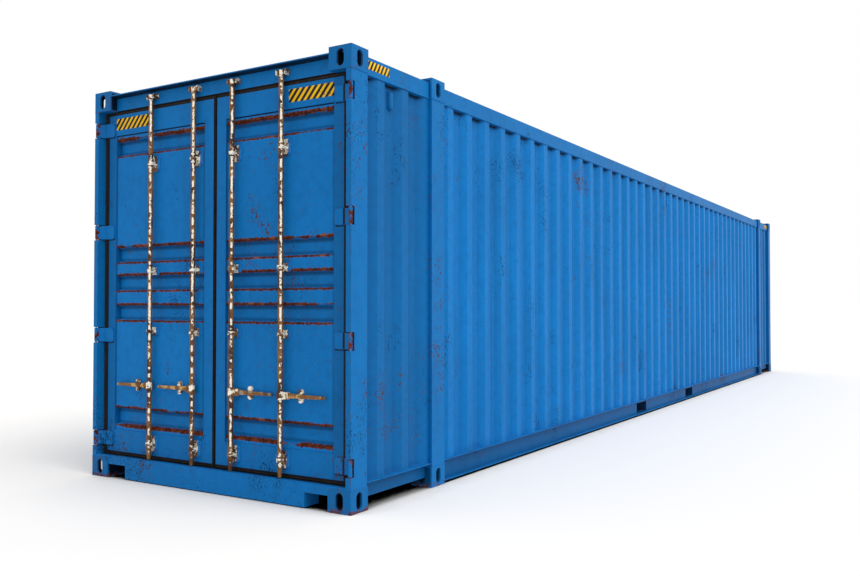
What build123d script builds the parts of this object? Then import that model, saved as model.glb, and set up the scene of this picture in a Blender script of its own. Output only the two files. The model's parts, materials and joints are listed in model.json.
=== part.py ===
"""A 45 ft high-cube dry container: welded frame, corrugated walls and two end doors with locking bars.

Millimetres. X runs along the length with the doors at -X, the right door is at -Y, and Z is up
from the ground under the corner castings.
"""
import os

from build123d import *

os.makedirs("parts", exist_ok=True)

# Overall size, from the standard for a 45 ft high-cube box
LENGTH = 13716
WIDTH = 2438
HEIGHT = 2896
END = LENGTH / 2
SIDE = WIDTH / 2

# Corner castings, and the castings that stand further in for stacking on shorter boxes
CAST_L = 178
CAST_W = 178
CAST_H = 148
CAST_SKIN = 28
CAST_INNER_SKIN = 14
CAST_CORNER = 5
SLOT_FROM_END = 103.5
SLOT_FROM_SIDE = 89.5
LONG_SLOT = 124.5
SLOT_WIDTH = 63.5
FACE_SLOT_H = 108
FACE_SLOT_W = 60
FACE_SLOT_CENTRE = 89
MIDWAY = 945
CAST_TOP = HEIGHT - CAST_H

# Posts: folded plate, set just inside the faces of the castings
POST_INSET = 2
POST_PLATE = 6
POST_FACE = 42
POST_DEPTH = CAST_L - 6
JAMB_DEPTH = 82
POST_INNER = 84
SHORT_POST_DEPTH = 73

# Side wall sheets, measured in from the outer face of the castings
CREST = 32
RECESS = 68
SHEET = 2
WALL_PITCH = 286.5
WALL_SLOPE = 68
CREST_FLAT = 75
FIRST_CREST = 361

# Side rails
TOP_RAIL_Z1 = HEIGHT - 34
TOP_RAIL_Z0 = CAST_TOP
TOP_RAIL_OUT = 25
TOP_RAIL_IN = 75
TUBE_WALL = 4
BOTTOM_RAIL_Z0 = 18
BOTTOM_RAIL_Z1 = 172
SHALLOW_RAIL_Z0 = 66
RAIL_WEB = 60
RAIL_LEDGE = 3
FLANGE_EDGE = 5
RAIL_PLATE = 5

# Fork pockets, cut through both bottom rails
POCKET_CENTRE = 1050
POCKET_W = 360
POCKET_Z1 = 136
POCKET_PLATE = 5
STRAP_L = 180

# Floor
FLOOR_Z0 = 150
FLOOR_Z1 = 178
MEMBER_PITCH = 305
MEMBER_FLANGE = 45
MEMBER_PLATE = 4

# Door frame: header above, sill below
HEADER_Z1 = TOP_RAIL_Z1
HEADER_Z0 = CAST_TOP
LIP_T = 9
LIP_OUT = 4
FACE_PLANE = 62
HEADER_BACK = 122
SILL_Z0 = 6
SILL_TOP = 161
SILL_BACK = 150
SILL_DROP = SIDE - 369
SILL_RAISED = 101
SILL_SEAM = 1
FRAME_PLATE = 6

# Doors
LEAF_FRONT = 60
LEAF_DEPTH = 50
LEAF_SIDE = 90
LEAF_GAP = 24
LEAF_Z0 = SILL_TOP + LEAF_GAP
LEAF_Z1 = HEADER_Z0 - LEAF_GAP
SEAM_HALF = 12.5
LEAF_W = SIDE - LEAF_SIDE - SEAM_HALF
STILE_W = 90
TOP_RAIL_H = 160
FOOT_RAIL_H = 166
PANEL_Z0 = LEAF_Z0 + FOOT_RAIL_H
PANEL_Z1 = LEAF_Z1 - TOP_RAIL_H
PANEL_SET = 6

# Pressed ribs of a door panel: one near each end and three about the middle
RIB_DEPTH = 36
RIB_SLOPE = 22
RIB_MARGIN = 34
LOW_RIB = 136
TOP_RIB = 128
MIDDLE_RIB = 124
MIDDLE_RIB_SHARES = (0.396, 0.496, 0.592)
RIBS = [(PANEL_Z0 + RIB_MARGIN, PANEL_Z0 + RIB_MARGIN + LOW_RIB)]
for share in MIDDLE_RIB_SHARES:
    rib_middle = PANEL_Z0 + share * (PANEL_Z1 - PANEL_Z0)
    RIBS.append((rib_middle - MIDDLE_RIB / 2, rib_middle + MIDDLE_RIB / 2))
RIBS.append((PANEL_Z1 - RIB_MARGIN - TOP_RIB, PANEL_Z1 - RIB_MARGIN))

# Door seals
SEAL_T = 12
SEAL_SET = 4
JAMB_GAP = 5
SEAL_END_GAP = 4
LIP_FROM_CENTRE = 4
LIP_RIDGE = 3

# Hinges: the pin stands in the notched outer corner of the post
PIN_IN = 15
PIN_R = 6.5
EYE_R = 7.5
BARREL_R = 13
BLADE_H = 102
BLADE_FRONT = 50
BLADE_END = 166
BLADE_CORNER = 18
HINGE_LOW = LEAF_Z0 + 98
HINGE_HIGH = LEAF_Z1 - 113
HINGE_COUNT = 4
HINGE_Z = [HINGE_LOW + i * (HINGE_HIGH - HINGE_LOW) / (HINGE_COUNT - 1) for i in range(HINGE_COUNT)]
NOTCH_GAP = 7
NOTCH_SIDE = 38
NOTCH_BACK = 64
LUG_T = 16

# Locking bars
BAR_R = 17
BAR_AXIS = 30
INNER_BAR = SEAM_HALF + 0.1554 * LEAF_W
OUTER_BAR = SEAM_HALF + 0.5486 * LEAF_W
BAR_Z0 = SILL_TOP + 6
FOOT_TAPER = 70
CAM_Z0 = HEADER_Z0 + 39
CAM_Z1 = CAM_Z0 + 30
CAM_R = 21
CAM_NOSE = 23
KEEPER_IN = 31
KEEPER_OUT = 42
KEEPER_Z1 = CAM_Z1 + 9

# Guides that hold the bars to the doors: two tall ones at the ends, two short ones between
TALL_GUIDE = 112
SHORT_GUIDE = 56
LOW_GUIDE_UP = 94
HIGH_GUIDE_GAP = 31
SHORT_GUIDE_SHARES = (0.358, 0.53)
GUIDES = [(LEAF_Z0 + LOW_GUIDE_UP, TALL_GUIDE)]
GUIDES += [(LEAF_Z0 + share * (LEAF_Z1 - LEAF_Z0), SHORT_GUIDE) for share in SHORT_GUIDE_SHARES]
GUIDES.append((RIBS[-1][0] - HIGH_GUIDE_GAP - TALL_GUIDE / 2, TALL_GUIDE))
GUIDE_W = 122
GUIDE_PLATE = 6
GUIDE_CORNER = 14
STRAP_H = 24
STRAP_R = 23
BORE_R = 17.3

# Handles
HANDLE_Z = 696
HUB_R = 25
HUB_H = 54
PIVOT_OUT = 46
PIVOT_R = 6
HANDLE_EYE = 7
HANDLE_LENGTH = 360
HANDLE_ROOT = 40
HANDLE_TIP = 19
HANDLE_U0 = 38
HANDLE_T = 9
FORK_T = 6
FORK_GAP = 2
REST_OUT = 152
REST_W = 40
REST_H = 90
REST_WAIST = 26
REST_GAP = 6

# Ventilators
VENT_W = 54
VENT_Z1 = TOP_RAIL_Z0 - 40
VENT_Z0 = VENT_Z1 - 131
VENT_OUT = 40
VENT_END = FIRST_CREST + WALL_PITCH / 2


def block(x0, x1, y0, y1, z0, z1, mode=Mode.ADD):
    """Add or cut a box between two corners."""
    with Locations(((x0 + x1) / 2, (y0 + y1) / 2, (z0 + z1) / 2)):
        Box(abs(x1 - x0), abs(y1 - y0), abs(z1 - z0), mode=mode)


def rear(u, v):
    """Turn a depth from the door end and a depth from the right side into X and Y."""
    return (-END + u, -SIDE + v)


def upright(points, z0, z1, mode=Mode.ADD):
    """Raise a plan outline from z0 to z1."""
    with BuildSketch(Plane.XY.offset(z0)) as outline:
        with BuildLine():
            Polyline(*points, close=True)
        make_face()
    extrude(outline.sketch, amount=z1 - z0, mode=mode)


def across(points, y0, y1, mode=Mode.ADD):
    """Run an outline given in X and Z along the width from y0 to y1."""
    with BuildSketch(Plane.XZ.offset(-y0)) as outline:
        with BuildLine():
            Polyline(*points, close=True)
        make_face()
    extrude(outline.sketch, amount=-(y1 - y0), mode=mode)


def along(points, x0, x1, mode=Mode.ADD):
    """Run an outline given in Y and Z along the length from x0 to x1."""
    with BuildSketch(Plane.YZ.offset(x0)) as outline:
        with BuildLine():
            Polyline(*points, close=True)
        make_face()
    extrude(outline.sketch, amount=x1 - x0, mode=mode)


def rectangle_points(a0, a1, b0, b1):
    """Corners of a rectangle, for an outline."""
    return [(a0, b0), (a1, b0), (a1, b1), (a0, b1)]


def finish(part, name):
    """Name a piece and write its file."""
    part.label = name
    export_step(part, "parts/" + name + ".step")


def opposite(part, plane):
    """A mirrored copy of a piece."""
    return mirror(part, about=plane)


# Castings


def casting(x0, upper):
    """One hollow casting at the right side, from x0 towards +X, its end face at x0."""
    z0 = CAST_TOP if upper else 0
    face_x = x0 + FACE_SLOT_CENTRE
    face_y = -SIDE + FACE_SLOT_CENTRE
    mid_z = z0 + CAST_H / 2
    with BuildPart() as cast:
        block(x0, x0 + CAST_L, -SIDE, -SIDE + CAST_W, z0, z0 + CAST_H)
        outer = cast.edges().filter_by(Axis.Z).sort_by_distance((x0, -SIDE, mid_z))[0:1]
        fillet(outer, CAST_CORNER)
        block(
            x0 + CAST_SKIN,
            x0 + CAST_L - CAST_INNER_SKIN,
            -SIDE + CAST_SKIN,
            -SIDE + CAST_W - CAST_INNER_SKIN,
            z0 + (CAST_INNER_SKIN if upper else CAST_SKIN - 4),
            z0 + CAST_H - (CAST_SKIN - 4 if upper else CAST_INNER_SKIN),
            Mode.SUBTRACT,
        )
        outside = z0 + CAST_H if upper else z0
        with BuildSketch(Plane.XY.offset(outside)):
            with Locations((x0 + SLOT_FROM_END, -SIDE + SLOT_FROM_SIDE)):
                SlotOverall(LONG_SLOT, SLOT_WIDTH)
        extrude(amount=-CAST_SKIN if upper else CAST_SKIN, mode=Mode.SUBTRACT)
        with BuildSketch(Plane.YZ.offset(x0)):
            with Locations((face_y, mid_z)):
                SlotOverall(FACE_SLOT_H, FACE_SLOT_W, rotation=90)
        extrude(amount=CAST_SKIN, mode=Mode.SUBTRACT)
        with BuildSketch(Plane.XZ.offset(SIDE)):
            with Locations((face_x, mid_z)):
                SlotOverall(FACE_SLOT_H, FACE_SLOT_W, rotation=90)
        extrude(amount=-CAST_SKIN, mode=Mode.SUBTRACT)
    return cast.part


def cast_set(distance, levels):
    """The castings at one distance from both ends and both sides."""
    with BuildPart() as group:
        for upper in levels:
            add(casting(-END + distance, upper))
        mirror(about=Plane.XZ)
        mirror(about=Plane.YZ)
    return group.part


corner_castings = cast_set(0, (False, True))
finish(corner_castings, "corner_castings")
midway_castings = cast_set(MIDWAY, (False, True))
finish(midway_castings, "midway_castings")

# Rear posts, notched for the hinges

post_lo = POST_INSET
cell_lo = post_lo + POST_PLATE
POST_OUTLINE = [
    rear(post_lo, post_lo),
    rear(POST_DEPTH, post_lo),
    rear(POST_DEPTH, POST_INNER),
    rear(JAMB_DEPTH, POST_INNER),
    rear(JAMB_DEPTH, POST_FACE),
    rear(post_lo, POST_FACE),
]
FRONT_CELL = [
    rear(cell_lo, cell_lo),
    rear(NOTCH_BACK, cell_lo),
    rear(NOTCH_BACK, POST_FACE - POST_PLATE),
    rear(cell_lo, POST_FACE - POST_PLATE),
]
REAR_CELL = [
    rear(JAMB_DEPTH + POST_PLATE, cell_lo),
    rear(POST_DEPTH - POST_PLATE, cell_lo),
    rear(POST_DEPTH - POST_PLATE, POST_INNER - POST_PLATE),
    rear(JAMB_DEPTH + POST_PLATE, POST_INNER - POST_PLATE),
]

notch_half = BLADE_H / 2 + NOTCH_GAP
with BuildPart() as rear_post:
    upright(POST_OUTLINE, CAST_H, CAST_TOP)
    upright(FRONT_CELL, CAST_H, CAST_TOP, Mode.SUBTRACT)
    upright(REAR_CELL, CAST_H, CAST_TOP, Mode.SUBTRACT)
    for z in HINGE_Z:
        low = z - notch_half
        high = z + notch_half
        block(-END, -END + NOTCH_BACK, -SIDE + cell_lo, -SIDE + POST_FACE + 1, low, high, Mode.SUBTRACT)
        block(-END, -END + NOTCH_SIDE, -SIDE, -SIDE + cell_lo + 1, low, high, Mode.SUBTRACT)
finish(rear_post.part, "right_rear_post")
finish(opposite(rear_post.part, Plane.XZ), "left_rear_post")

# Hinge pins with the lugs that hold them in the post

lug_y0 = -SIDE + cell_lo
lug_y1 = -SIDE + POST_FACE - POST_PLATE
with BuildPart() as hinge_pins:
    for z in HINGE_Z:
        low = z - notch_half - LUG_T
        with BuildSketch(Plane.XY.offset(low)):
            with Locations(rear(PIN_IN, PIN_IN)):
                Circle(PIN_R)
        extrude(amount=2 * (notch_half + LUG_T))
        for z0 in (low, z + notch_half):
            block(-END + cell_lo, -END + NOTCH_SIDE, lug_y0, lug_y1, z0, z0 + LUG_T)
    mirror(about=Plane.XZ)
finish(hinge_pins.part, "hinge_pins")

# Front posts

FRONT_LEG = 80
with BuildPart() as front_posts:
    outline = [
        (END - POST_INSET, -SIDE + POST_INSET),
        (END - POST_DEPTH, -SIDE + POST_INSET),
        (END - POST_DEPTH, -SIDE + SHORT_POST_DEPTH),
        (END - FRONT_LEG, -SIDE + SHORT_POST_DEPTH),
        (END - FRONT_LEG, -SIDE + CAST_W),
        (END - POST_INSET, -SIDE + CAST_W),
    ]
    cell = [
        (END - cell_lo, -SIDE + cell_lo),
        (END - POST_DEPTH + POST_PLATE, -SIDE + cell_lo),
        (END - POST_DEPTH + POST_PLATE, -SIDE + SHORT_POST_DEPTH - POST_PLATE),
        (END - FRONT_LEG + POST_PLATE, -SIDE + SHORT_POST_DEPTH - POST_PLATE),
        (END - FRONT_LEG + POST_PLATE, -SIDE + CAST_W - POST_PLATE),
        (END - cell_lo, -SIDE + CAST_W - POST_PLATE),
    ]
    upright(outline, CAST_H, CAST_TOP)
    upright(cell, CAST_H, CAST_TOP, Mode.SUBTRACT)
    mirror(about=Plane.XZ)
finish(front_posts.part, "front_corner_posts")

# Posts at the 40 ft positions

with BuildPart() as midway_posts:
    x0 = -END + MIDWAY + POST_INSET
    x1 = -END + MIDWAY + CAST_L - POST_INSET
    block(x0, x1, -SIDE + POST_INSET, -SIDE + SHORT_POST_DEPTH, CAST_H, CAST_TOP)
    cell_y1 = -SIDE + SHORT_POST_DEPTH - POST_PLATE
    block(x0 + POST_PLATE, x1 - POST_PLATE, -SIDE + cell_lo, cell_y1, CAST_H, CAST_TOP, Mode.SUBTRACT)
    mirror(about=Plane.XZ)
    mirror(about=Plane.YZ)
finish(midway_posts.part, "midway_posts")

# Top side rails: box tubes between the castings

with BuildPart() as top_rail:
    spans = ((-END + CAST_L, -END + MIDWAY), (-END + MIDWAY + CAST_L, 0))
    for x0, x1 in spans:
        along(rectangle_points(-SIDE + TOP_RAIL_OUT, -SIDE + TOP_RAIL_IN, TOP_RAIL_Z0, TOP_RAIL_Z1), x0, x1)
        along(
            rectangle_points(
                -SIDE + TOP_RAIL_OUT + TUBE_WALL,
                -SIDE + TOP_RAIL_IN - TUBE_WALL,
                TOP_RAIL_Z0 + TUBE_WALL,
                TOP_RAIL_Z1 - TUBE_WALL,
            ),
            x0,
            x1,
            Mode.SUBTRACT,
        )
    mirror(about=Plane.YZ)
finish(top_rail.part, "right_top_rail")
finish(opposite(top_rail.part, Plane.XZ), "left_top_rail")

# Bottom side rails: open channels with a wide ledge, cut for the fork pockets


def channel_points(z0):
    """Outline of the bottom rail: ledge, web and, on the deep rail, a foot flange."""
    under_ledge = BOTTOM_RAIL_Z1 - RAIL_PLATE
    points = [
        (-SIDE + RAIL_LEDGE, BOTTOM_RAIL_Z1),
        (-SIDE + TOP_RAIL_IN, BOTTOM_RAIL_Z1),
        (-SIDE + TOP_RAIL_IN, under_ledge),
        (-SIDE + RAIL_WEB + RAIL_PLATE, under_ledge),
        (-SIDE + RAIL_WEB + RAIL_PLATE, z0),
    ]
    if z0 == BOTTOM_RAIL_Z0:
        points += [
            (-SIDE + FLANGE_EDGE, z0),
            (-SIDE + FLANGE_EDGE, z0 + RAIL_PLATE),
            (-SIDE + RAIL_WEB, z0 + RAIL_PLATE),
        ]
    else:
        points += [(-SIDE + RAIL_WEB, z0)]
    points += [(-SIDE + RAIL_WEB, under_ledge), (-SIDE + RAIL_LEDGE, under_ledge)]
    return points


with BuildPart() as bottom_rail:
    along(channel_points(SHALLOW_RAIL_Z0), -END + CAST_L, -END + MIDWAY)
    along(channel_points(BOTTOM_RAIL_Z0), -END + MIDWAY + CAST_L, 0)
    block(
        -POCKET_CENTRE - POCKET_W / 2,
        -POCKET_CENTRE + POCKET_W / 2,
        -SIDE + RAIL_WEB - 1,
        -SIDE + RAIL_WEB + RAIL_PLATE + 1,
        BOTTOM_RAIL_Z0 + RAIL_PLATE,
        POCKET_Z1,
        Mode.SUBTRACT,
    )
    mirror(about=Plane.YZ)
finish(bottom_rail.part, "right_bottom_rail")
finish(opposite(bottom_rail.part, Plane.XZ), "left_bottom_rail")

# Side walls: one folded sheet in each bay


def ribbon(path, normal):
    """Outline of a sheet: the path out, then back shifted by the sheet's thickness."""
    back = [(x + normal[0], y + normal[1]) for x, y in reversed(path)]
    return path + back


def crest_turns(middle):
    """The four turns of the wall line about one crest, as distance along against depth."""
    near = middle - CREST_FLAT / 2
    far = middle + CREST_FLAT / 2
    return [(near - WALL_SLOPE, RECESS), (near, CREST), (far, CREST), (far + WALL_SLOPE, RECESS)]


def bay_path(x0, x1, first, pitch):
    """Wall line from x0 to x1, its first crest at a distance from x0, cut off where the bay ends."""
    length = x1 - x0
    turns = [(0, RECESS)]
    middle = first
    while turns[-1][0] < length:
        turns += crest_turns(middle)
        middle += pitch
    kept = [turns[0]]
    for (u0, v0), (u1, v1) in zip(turns, turns[1:]):
        if u1 >= length:
            kept.append((length, v0 + (v1 - v0) * (length - u0) / (u1 - u0)))
            break
        kept.append((u1, v1))
    return [(x0 + u, -SIDE + v) for u, v in kept]


end_path = bay_path(-END + POST_DEPTH, -END + MIDWAY + POST_INSET, FIRST_CREST - POST_DEPTH, WALL_PITCH)
main_end = END - MIDWAY - CAST_L + POST_INSET
main_pitch = main_end / round(main_end / WALL_PITCH)
main_path = bay_path(-main_end, main_end, main_pitch / 2, main_pitch)

with BuildPart() as side_wall:
    upright(ribbon(end_path, (0, SHEET)), BOTTOM_RAIL_Z1, TOP_RAIL_Z0)
    mirror(about=Plane.YZ)
    upright(ribbon(main_path, (0, SHEET)), BOTTOM_RAIL_Z1, TOP_RAIL_Z0)
finish(side_wall.part, "right_side_wall")
finish(opposite(side_wall.part, Plane.XZ), "left_side_wall")

# Front end: sill, rail and corrugated wall

FRONT_CREST = 26
FRONT_RECESS = 72
FRONT_FLAT = 110
FRONT_GAP = 104
FRONT_SLOPE = 18
front_half = SIDE - CAST_W

with BuildPart() as front_wall:
    pitch = FRONT_FLAT + FRONT_GAP + 2 * FRONT_SLOPE
    count = int(2 * front_half // pitch)
    margin = (2 * front_half - count * pitch) / 2
    path = [(END - FRONT_CREST, -front_half)]
    for i in range(count):
        y = -front_half + margin + i * pitch + FRONT_FLAT / 2
        path.append((END - FRONT_CREST, y))
        path.append((END - FRONT_RECESS, y + FRONT_SLOPE))
        path.append((END - FRONT_RECESS, y + FRONT_SLOPE + FRONT_GAP))
        path.append((END - FRONT_CREST, y + 2 * FRONT_SLOPE + FRONT_GAP))
    path.append((END - FRONT_CREST, front_half))
    upright(ribbon(path, (-SHEET, 0)), BOTTOM_RAIL_Z1, TOP_RAIL_Z0)
finish(front_wall.part, "front_wall")

FRONT_RAIL_OUT = 18
with BuildPart() as front_rail:
    across(
        rectangle_points(END - FRONT_LEG, END - FRONT_RAIL_OUT, TOP_RAIL_Z0, TOP_RAIL_Z1),
        -front_half,
        front_half,
    )
    across(
        rectangle_points(
            END - FRONT_LEG + TUBE_WALL,
            END - FRONT_RAIL_OUT - TUBE_WALL,
            TOP_RAIL_Z0 + TUBE_WALL,
            TOP_RAIL_Z1 - TUBE_WALL,
        ),
        -front_half,
        front_half,
        Mode.SUBTRACT,
    )
finish(front_rail.part, "front_top_rail")

FRONT_SILL_OUT = 8
with BuildPart() as front_sill:
    across(
        rectangle_points(END - FRONT_LEG, END - FRONT_SILL_OUT, BOTTOM_RAIL_Z0, BOTTOM_RAIL_Z1),
        -front_half,
        front_half,
    )
    across(
        rectangle_points(
            END - FRONT_LEG + FRAME_PLATE,
            END - FRONT_SILL_OUT - FRAME_PLATE,
            BOTTOM_RAIL_Z0 + FRAME_PLATE,
            BOTTOM_RAIL_Z1 - FRAME_PLATE,
        ),
        -front_half,
        front_half,
        Mode.SUBTRACT,
    )
finish(front_sill.part, "front_sill")

# Door header with its rain lip

with BuildPart() as header:
    block(-END + FACE_PLANE, -END + HEADER_BACK, -front_half, front_half, HEADER_Z0, HEADER_Z1)
    block(
        -END + FACE_PLANE + FRAME_PLATE,
        -END + HEADER_BACK - FRAME_PLATE,
        -front_half,
        front_half,
        HEADER_Z0 + FRAME_PLATE,
        HEADER_Z1 - FRAME_PLATE,
        Mode.SUBTRACT,
    )
    block(-END + LIP_OUT, -END + FACE_PLANE, -front_half, front_half, HEADER_Z1 - LIP_T, HEADER_Z1)
finish(header.part, "door_header")

# Door sill: a hollow beam between the castings, and a plate on each casting

with BuildPart() as sill:
    block(-END + LIP_OUT, -END + SILL_BACK, -front_half, front_half, SILL_RAISED, SILL_TOP)
    block(-END + LIP_OUT, -END + SILL_BACK, -SILL_DROP, SILL_DROP, SILL_Z0, SILL_TOP)
    block(
        -END + LIP_OUT + FRAME_PLATE,
        -END + SILL_BACK - FRAME_PLATE,
        -front_half + FRAME_PLATE,
        front_half - FRAME_PLATE,
        SILL_RAISED + FRAME_PLATE,
        SILL_TOP - FRAME_PLATE,
        Mode.SUBTRACT,
    )
    block(
        -END + LIP_OUT + FRAME_PLATE,
        -END + SILL_BACK - FRAME_PLATE,
        -SILL_DROP + FRAME_PLATE,
        SILL_DROP - FRAME_PLATE,
        SILL_Z0 + FRAME_PLATE,
        SILL_RAISED + FRAME_PLATE,
        Mode.SUBTRACT,
    )
    plate_plan = [
        rear(LIP_OUT, POST_FACE),
        rear(LIP_OUT, CAST_W - SILL_SEAM),
        rear(SILL_BACK, CAST_W - SILL_SEAM),
        rear(SILL_BACK, POST_INNER),
        rear(JAMB_DEPTH, POST_INNER),
        rear(JAMB_DEPTH, POST_FACE),
    ]
    upright(plate_plan, CAST_H, SILL_TOP)
    upright([(x, -y) for x, y in reversed(plate_plan)], CAST_H, SILL_TOP)
finish(sill.part, "door_sill")

# Roof: sheets with shallow folds across the width, laid on the rails, parted beside the castings

ROOF_LOW = TOP_RAIL_Z1
ROOF_RISE = 16
ROOF_PITCH = 211
ROOF_FLAT = 70
ROOF_SLOPE = 24
ROOF_SIDE = 62
ROOF_LAP = 20
ROOF_SEAM = 0.6
NOTCH_ROOM = 3
roof_x0 = -END + HEADER_BACK - ROOF_LAP
roof_x1 = END - FRONT_RAIL_OUT - 4

with BuildPart() as roof:
    count = round((roof_x1 - roof_x0) / ROOF_PITCH)
    pitch = (roof_x1 - roof_x0) / count
    low_flat = pitch - ROOF_FLAT - 2 * ROOF_SLOPE
    path = [(roof_x0, ROOF_LOW)]
    for i in range(count):
        x = roof_x0 + i * pitch + low_flat / 2
        path.append((x, ROOF_LOW))
        path.append((x + ROOF_SLOPE, ROOF_LOW + ROOF_RISE))
        path.append((x + ROOF_SLOPE + ROOF_FLAT, ROOF_LOW + ROOF_RISE))
        path.append((x + 2 * ROOF_SLOPE + ROOF_FLAT, ROOF_LOW))
    path.append((roof_x1, ROOF_LOW))
    across(ribbon(path, (0, SHEET)), -SIDE + ROOF_SIDE, SIDE - ROOF_SIDE)
    corner_edge = END - CAST_L - NOTCH_ROOM
    midway_outer = END - MIDWAY + NOTCH_ROOM
    midway_inner = END - MIDWAY - CAST_L - NOTCH_ROOM
    for x_near, x_far in ((corner_edge, END), (midway_inner, midway_outer)):
        for x0, x1 in ((x_near, x_far), (-x_far, -x_near)):
            for y0, y1 in ((-SIDE, -SIDE + CAST_W + NOTCH_ROOM), (SIDE - CAST_W - NOTCH_ROOM, SIDE)):
                block(x0, x1, y0, y1, CAST_TOP, HEIGHT, Mode.SUBTRACT)
    for seam in (corner_edge, midway_outer, midway_inner):
        for x in (-seam, seam):
            block(x - ROOF_SEAM / 2, x + ROOF_SEAM / 2, -SIDE, SIDE, CAST_TOP, HEIGHT, Mode.SUBTRACT)
finish(roof.part, "roof_panel")

# Floor boards on cross members

FLOOR_GAP = 1
FLOOR_HALF = SIDE - POST_INNER - 3
floor_x0 = -END + SILL_BACK + FLOOR_GAP
floor_x1 = END - FRONT_LEG - FLOOR_GAP
with BuildPart() as floor:
    block(floor_x0, floor_x1, -FLOOR_HALF, FLOOR_HALF, FLOOR_Z0, FLOOR_Z1)
    for y_end in (-SIDE, SIDE - CAST_W - NOTCH_ROOM):
        block(END - CAST_L, END, y_end, y_end + CAST_W + NOTCH_ROOM, FLOOR_Z0, FLOOR_Z1, Mode.SUBTRACT)
finish(floor.part, "floor_boards")

member_half = SIDE - RAIL_WEB - RAIL_PLATE
pocket_reach = POCKET_W / 2 + POCKET_PLATE + 30
with BuildPart() as members:
    count = int((LENGTH - 2 * CAST_L - 400) // MEMBER_PITCH)
    start = -count * MEMBER_PITCH / 2
    for i in range(count + 1):
        x = start + i * MEMBER_PITCH
        near_pocket = abs(abs(x + MEMBER_FLANGE / 2) - POCKET_CENTRE) < pocket_reach + MEMBER_FLANGE / 2
        shallow = abs(x) > END - MIDWAY - CAST_L - MEMBER_FLANGE
        z0 = SHALLOW_RAIL_Z0 if shallow else BOTTOM_RAIL_Z0 + 10
        reach = front_half if shallow and abs(x) < END - MIDWAY + MEMBER_FLANGE else member_half
        if not near_pocket:
            across(
                [
                    (x, z0),
                    (x + MEMBER_FLANGE, z0),
                    (x + MEMBER_FLANGE, z0 + MEMBER_PLATE),
                    (x + MEMBER_PLATE, z0 + MEMBER_PLATE),
                    (x + MEMBER_PLATE, FLOOR_Z0 - MEMBER_PLATE),
                    (x + MEMBER_FLANGE, FLOOR_Z0 - MEMBER_PLATE),
                    (x + MEMBER_FLANGE, FLOOR_Z0),
                    (x, FLOOR_Z0),
                ],
                -reach,
                reach,
            )
finish(members.part, "cross_members")

with BuildPart() as pockets:
    side_x = POCKET_W / 2
    for sign in (-1, 1):
        x = sign * POCKET_CENTRE
        near = x - side_x
        far = x + side_x
        roof_top = POCKET_Z1 + POCKET_PLATE
        strap_top = BOTTOM_RAIL_Z0 + POCKET_PLATE
        block(near - POCKET_PLATE, far + POCKET_PLATE, -member_half, member_half, POCKET_Z1, roof_top)
        block(near - POCKET_PLATE, near, -member_half, member_half, BOTTOM_RAIL_Z0, POCKET_Z1)
        block(far, far + POCKET_PLATE, -member_half, member_half, BOTTOM_RAIL_Z0, POCKET_Z1)
        block(near, far, -member_half, -member_half + STRAP_L, BOTTOM_RAIL_Z0, strap_top)
        block(near, far, member_half - STRAP_L, member_half, BOTTOM_RAIL_Z0, strap_top)
finish(pockets.part, "fork_pockets")

# Ventilators

with BuildPart() as vents:
    for x in (-END + VENT_END, 0, END - VENT_END):
        block(x - VENT_W / 2, x + VENT_W / 2, -SIDE + VENT_OUT, -SIDE + RECESS, VENT_Z0, VENT_Z1)
    fillet(vents.edges().filter_by(Axis.Y), 14)
    mirror(about=Plane.XZ)
finish(vents.part, "ventilators")

# Keepers on the header: two lugs beside each bar

with BuildPart() as keepers:
    for y_bar in (INNER_BAR, OUTER_BAR):
        for side in (-1, 1):
            y0 = -y_bar + side * KEEPER_IN
            y1 = -y_bar + side * KEEPER_OUT
            block(-END + BAR_AXIS - 10, -END + FACE_PLANE, min(y0, y1), max(y0, y1), CAM_Z0, KEEPER_Z1)
    fillet(keepers.edges().filter_by(Axis.Y).group_by(Axis.X)[0], 12)
    mirror(about=Plane.XZ)
finish(keepers.part, "header_keepers")

# Right door; the left door is its mirror image


def door_piece(part, name):
    """Write a right door piece and its mirrored left piece."""
    finish(part, "right_" + name)
    finish(opposite(part, Plane.XZ), "left_" + name)


hinge_y = -SIDE + LEAF_SIDE
leaf_back = LEAF_FRONT + LEAF_DEPTH
with BuildPart() as stiles:
    for y0, y1 in ((hinge_y, hinge_y + STILE_W), (-SEAM_HALF - STILE_W, -SEAM_HALF)):
        block(-END + LEAF_FRONT, -END + leaf_back, y0, y1, LEAF_Z0, LEAF_Z1)
door_piece(stiles.part, "door_stiles")

inner_y0 = hinge_y + STILE_W
inner_y1 = -SEAM_HALF - STILE_W
with BuildPart() as door_rails:
    for z0, z1 in ((LEAF_Z0, PANEL_Z0), (PANEL_Z1, LEAF_Z1)):
        block(-END + LEAF_FRONT, -END + leaf_back, inner_y0, inner_y1, z0, z1)
door_piece(door_rails.part, "door_rails")

with BuildPart() as door_panel:
    front = -END + LEAF_FRONT + PANEL_SET
    rib_back = front + RIB_DEPTH
    path = [(front, PANEL_Z0)]
    for z0, z1 in RIBS:
        path += [(front, z0), (rib_back, z0 + RIB_SLOPE), (rib_back, z1 - RIB_SLOPE), (front, z1)]
    path.append((front, PANEL_Z1))
    across(ribbon(path, (SHEET, 0)), inner_y0, inner_y1)
door_piece(door_panel.part, "door_panel")


def seal_points(a0, a1, u0):
    """Section of a seal strip with a ridge near each edge, as depth against position."""
    step = (a1 - a0) / 6
    return [
        (u0, a0),
        (u0 - LIP_RIDGE, a0 + step),
        (u0, a0 + 2 * step),
        (u0, a0 + 4 * step),
        (u0 - LIP_RIDGE, a0 + 5 * step),
        (u0, a1),
        (u0 + SEAL_T, a1),
        (u0 + SEAL_T, a0),
    ]


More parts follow.
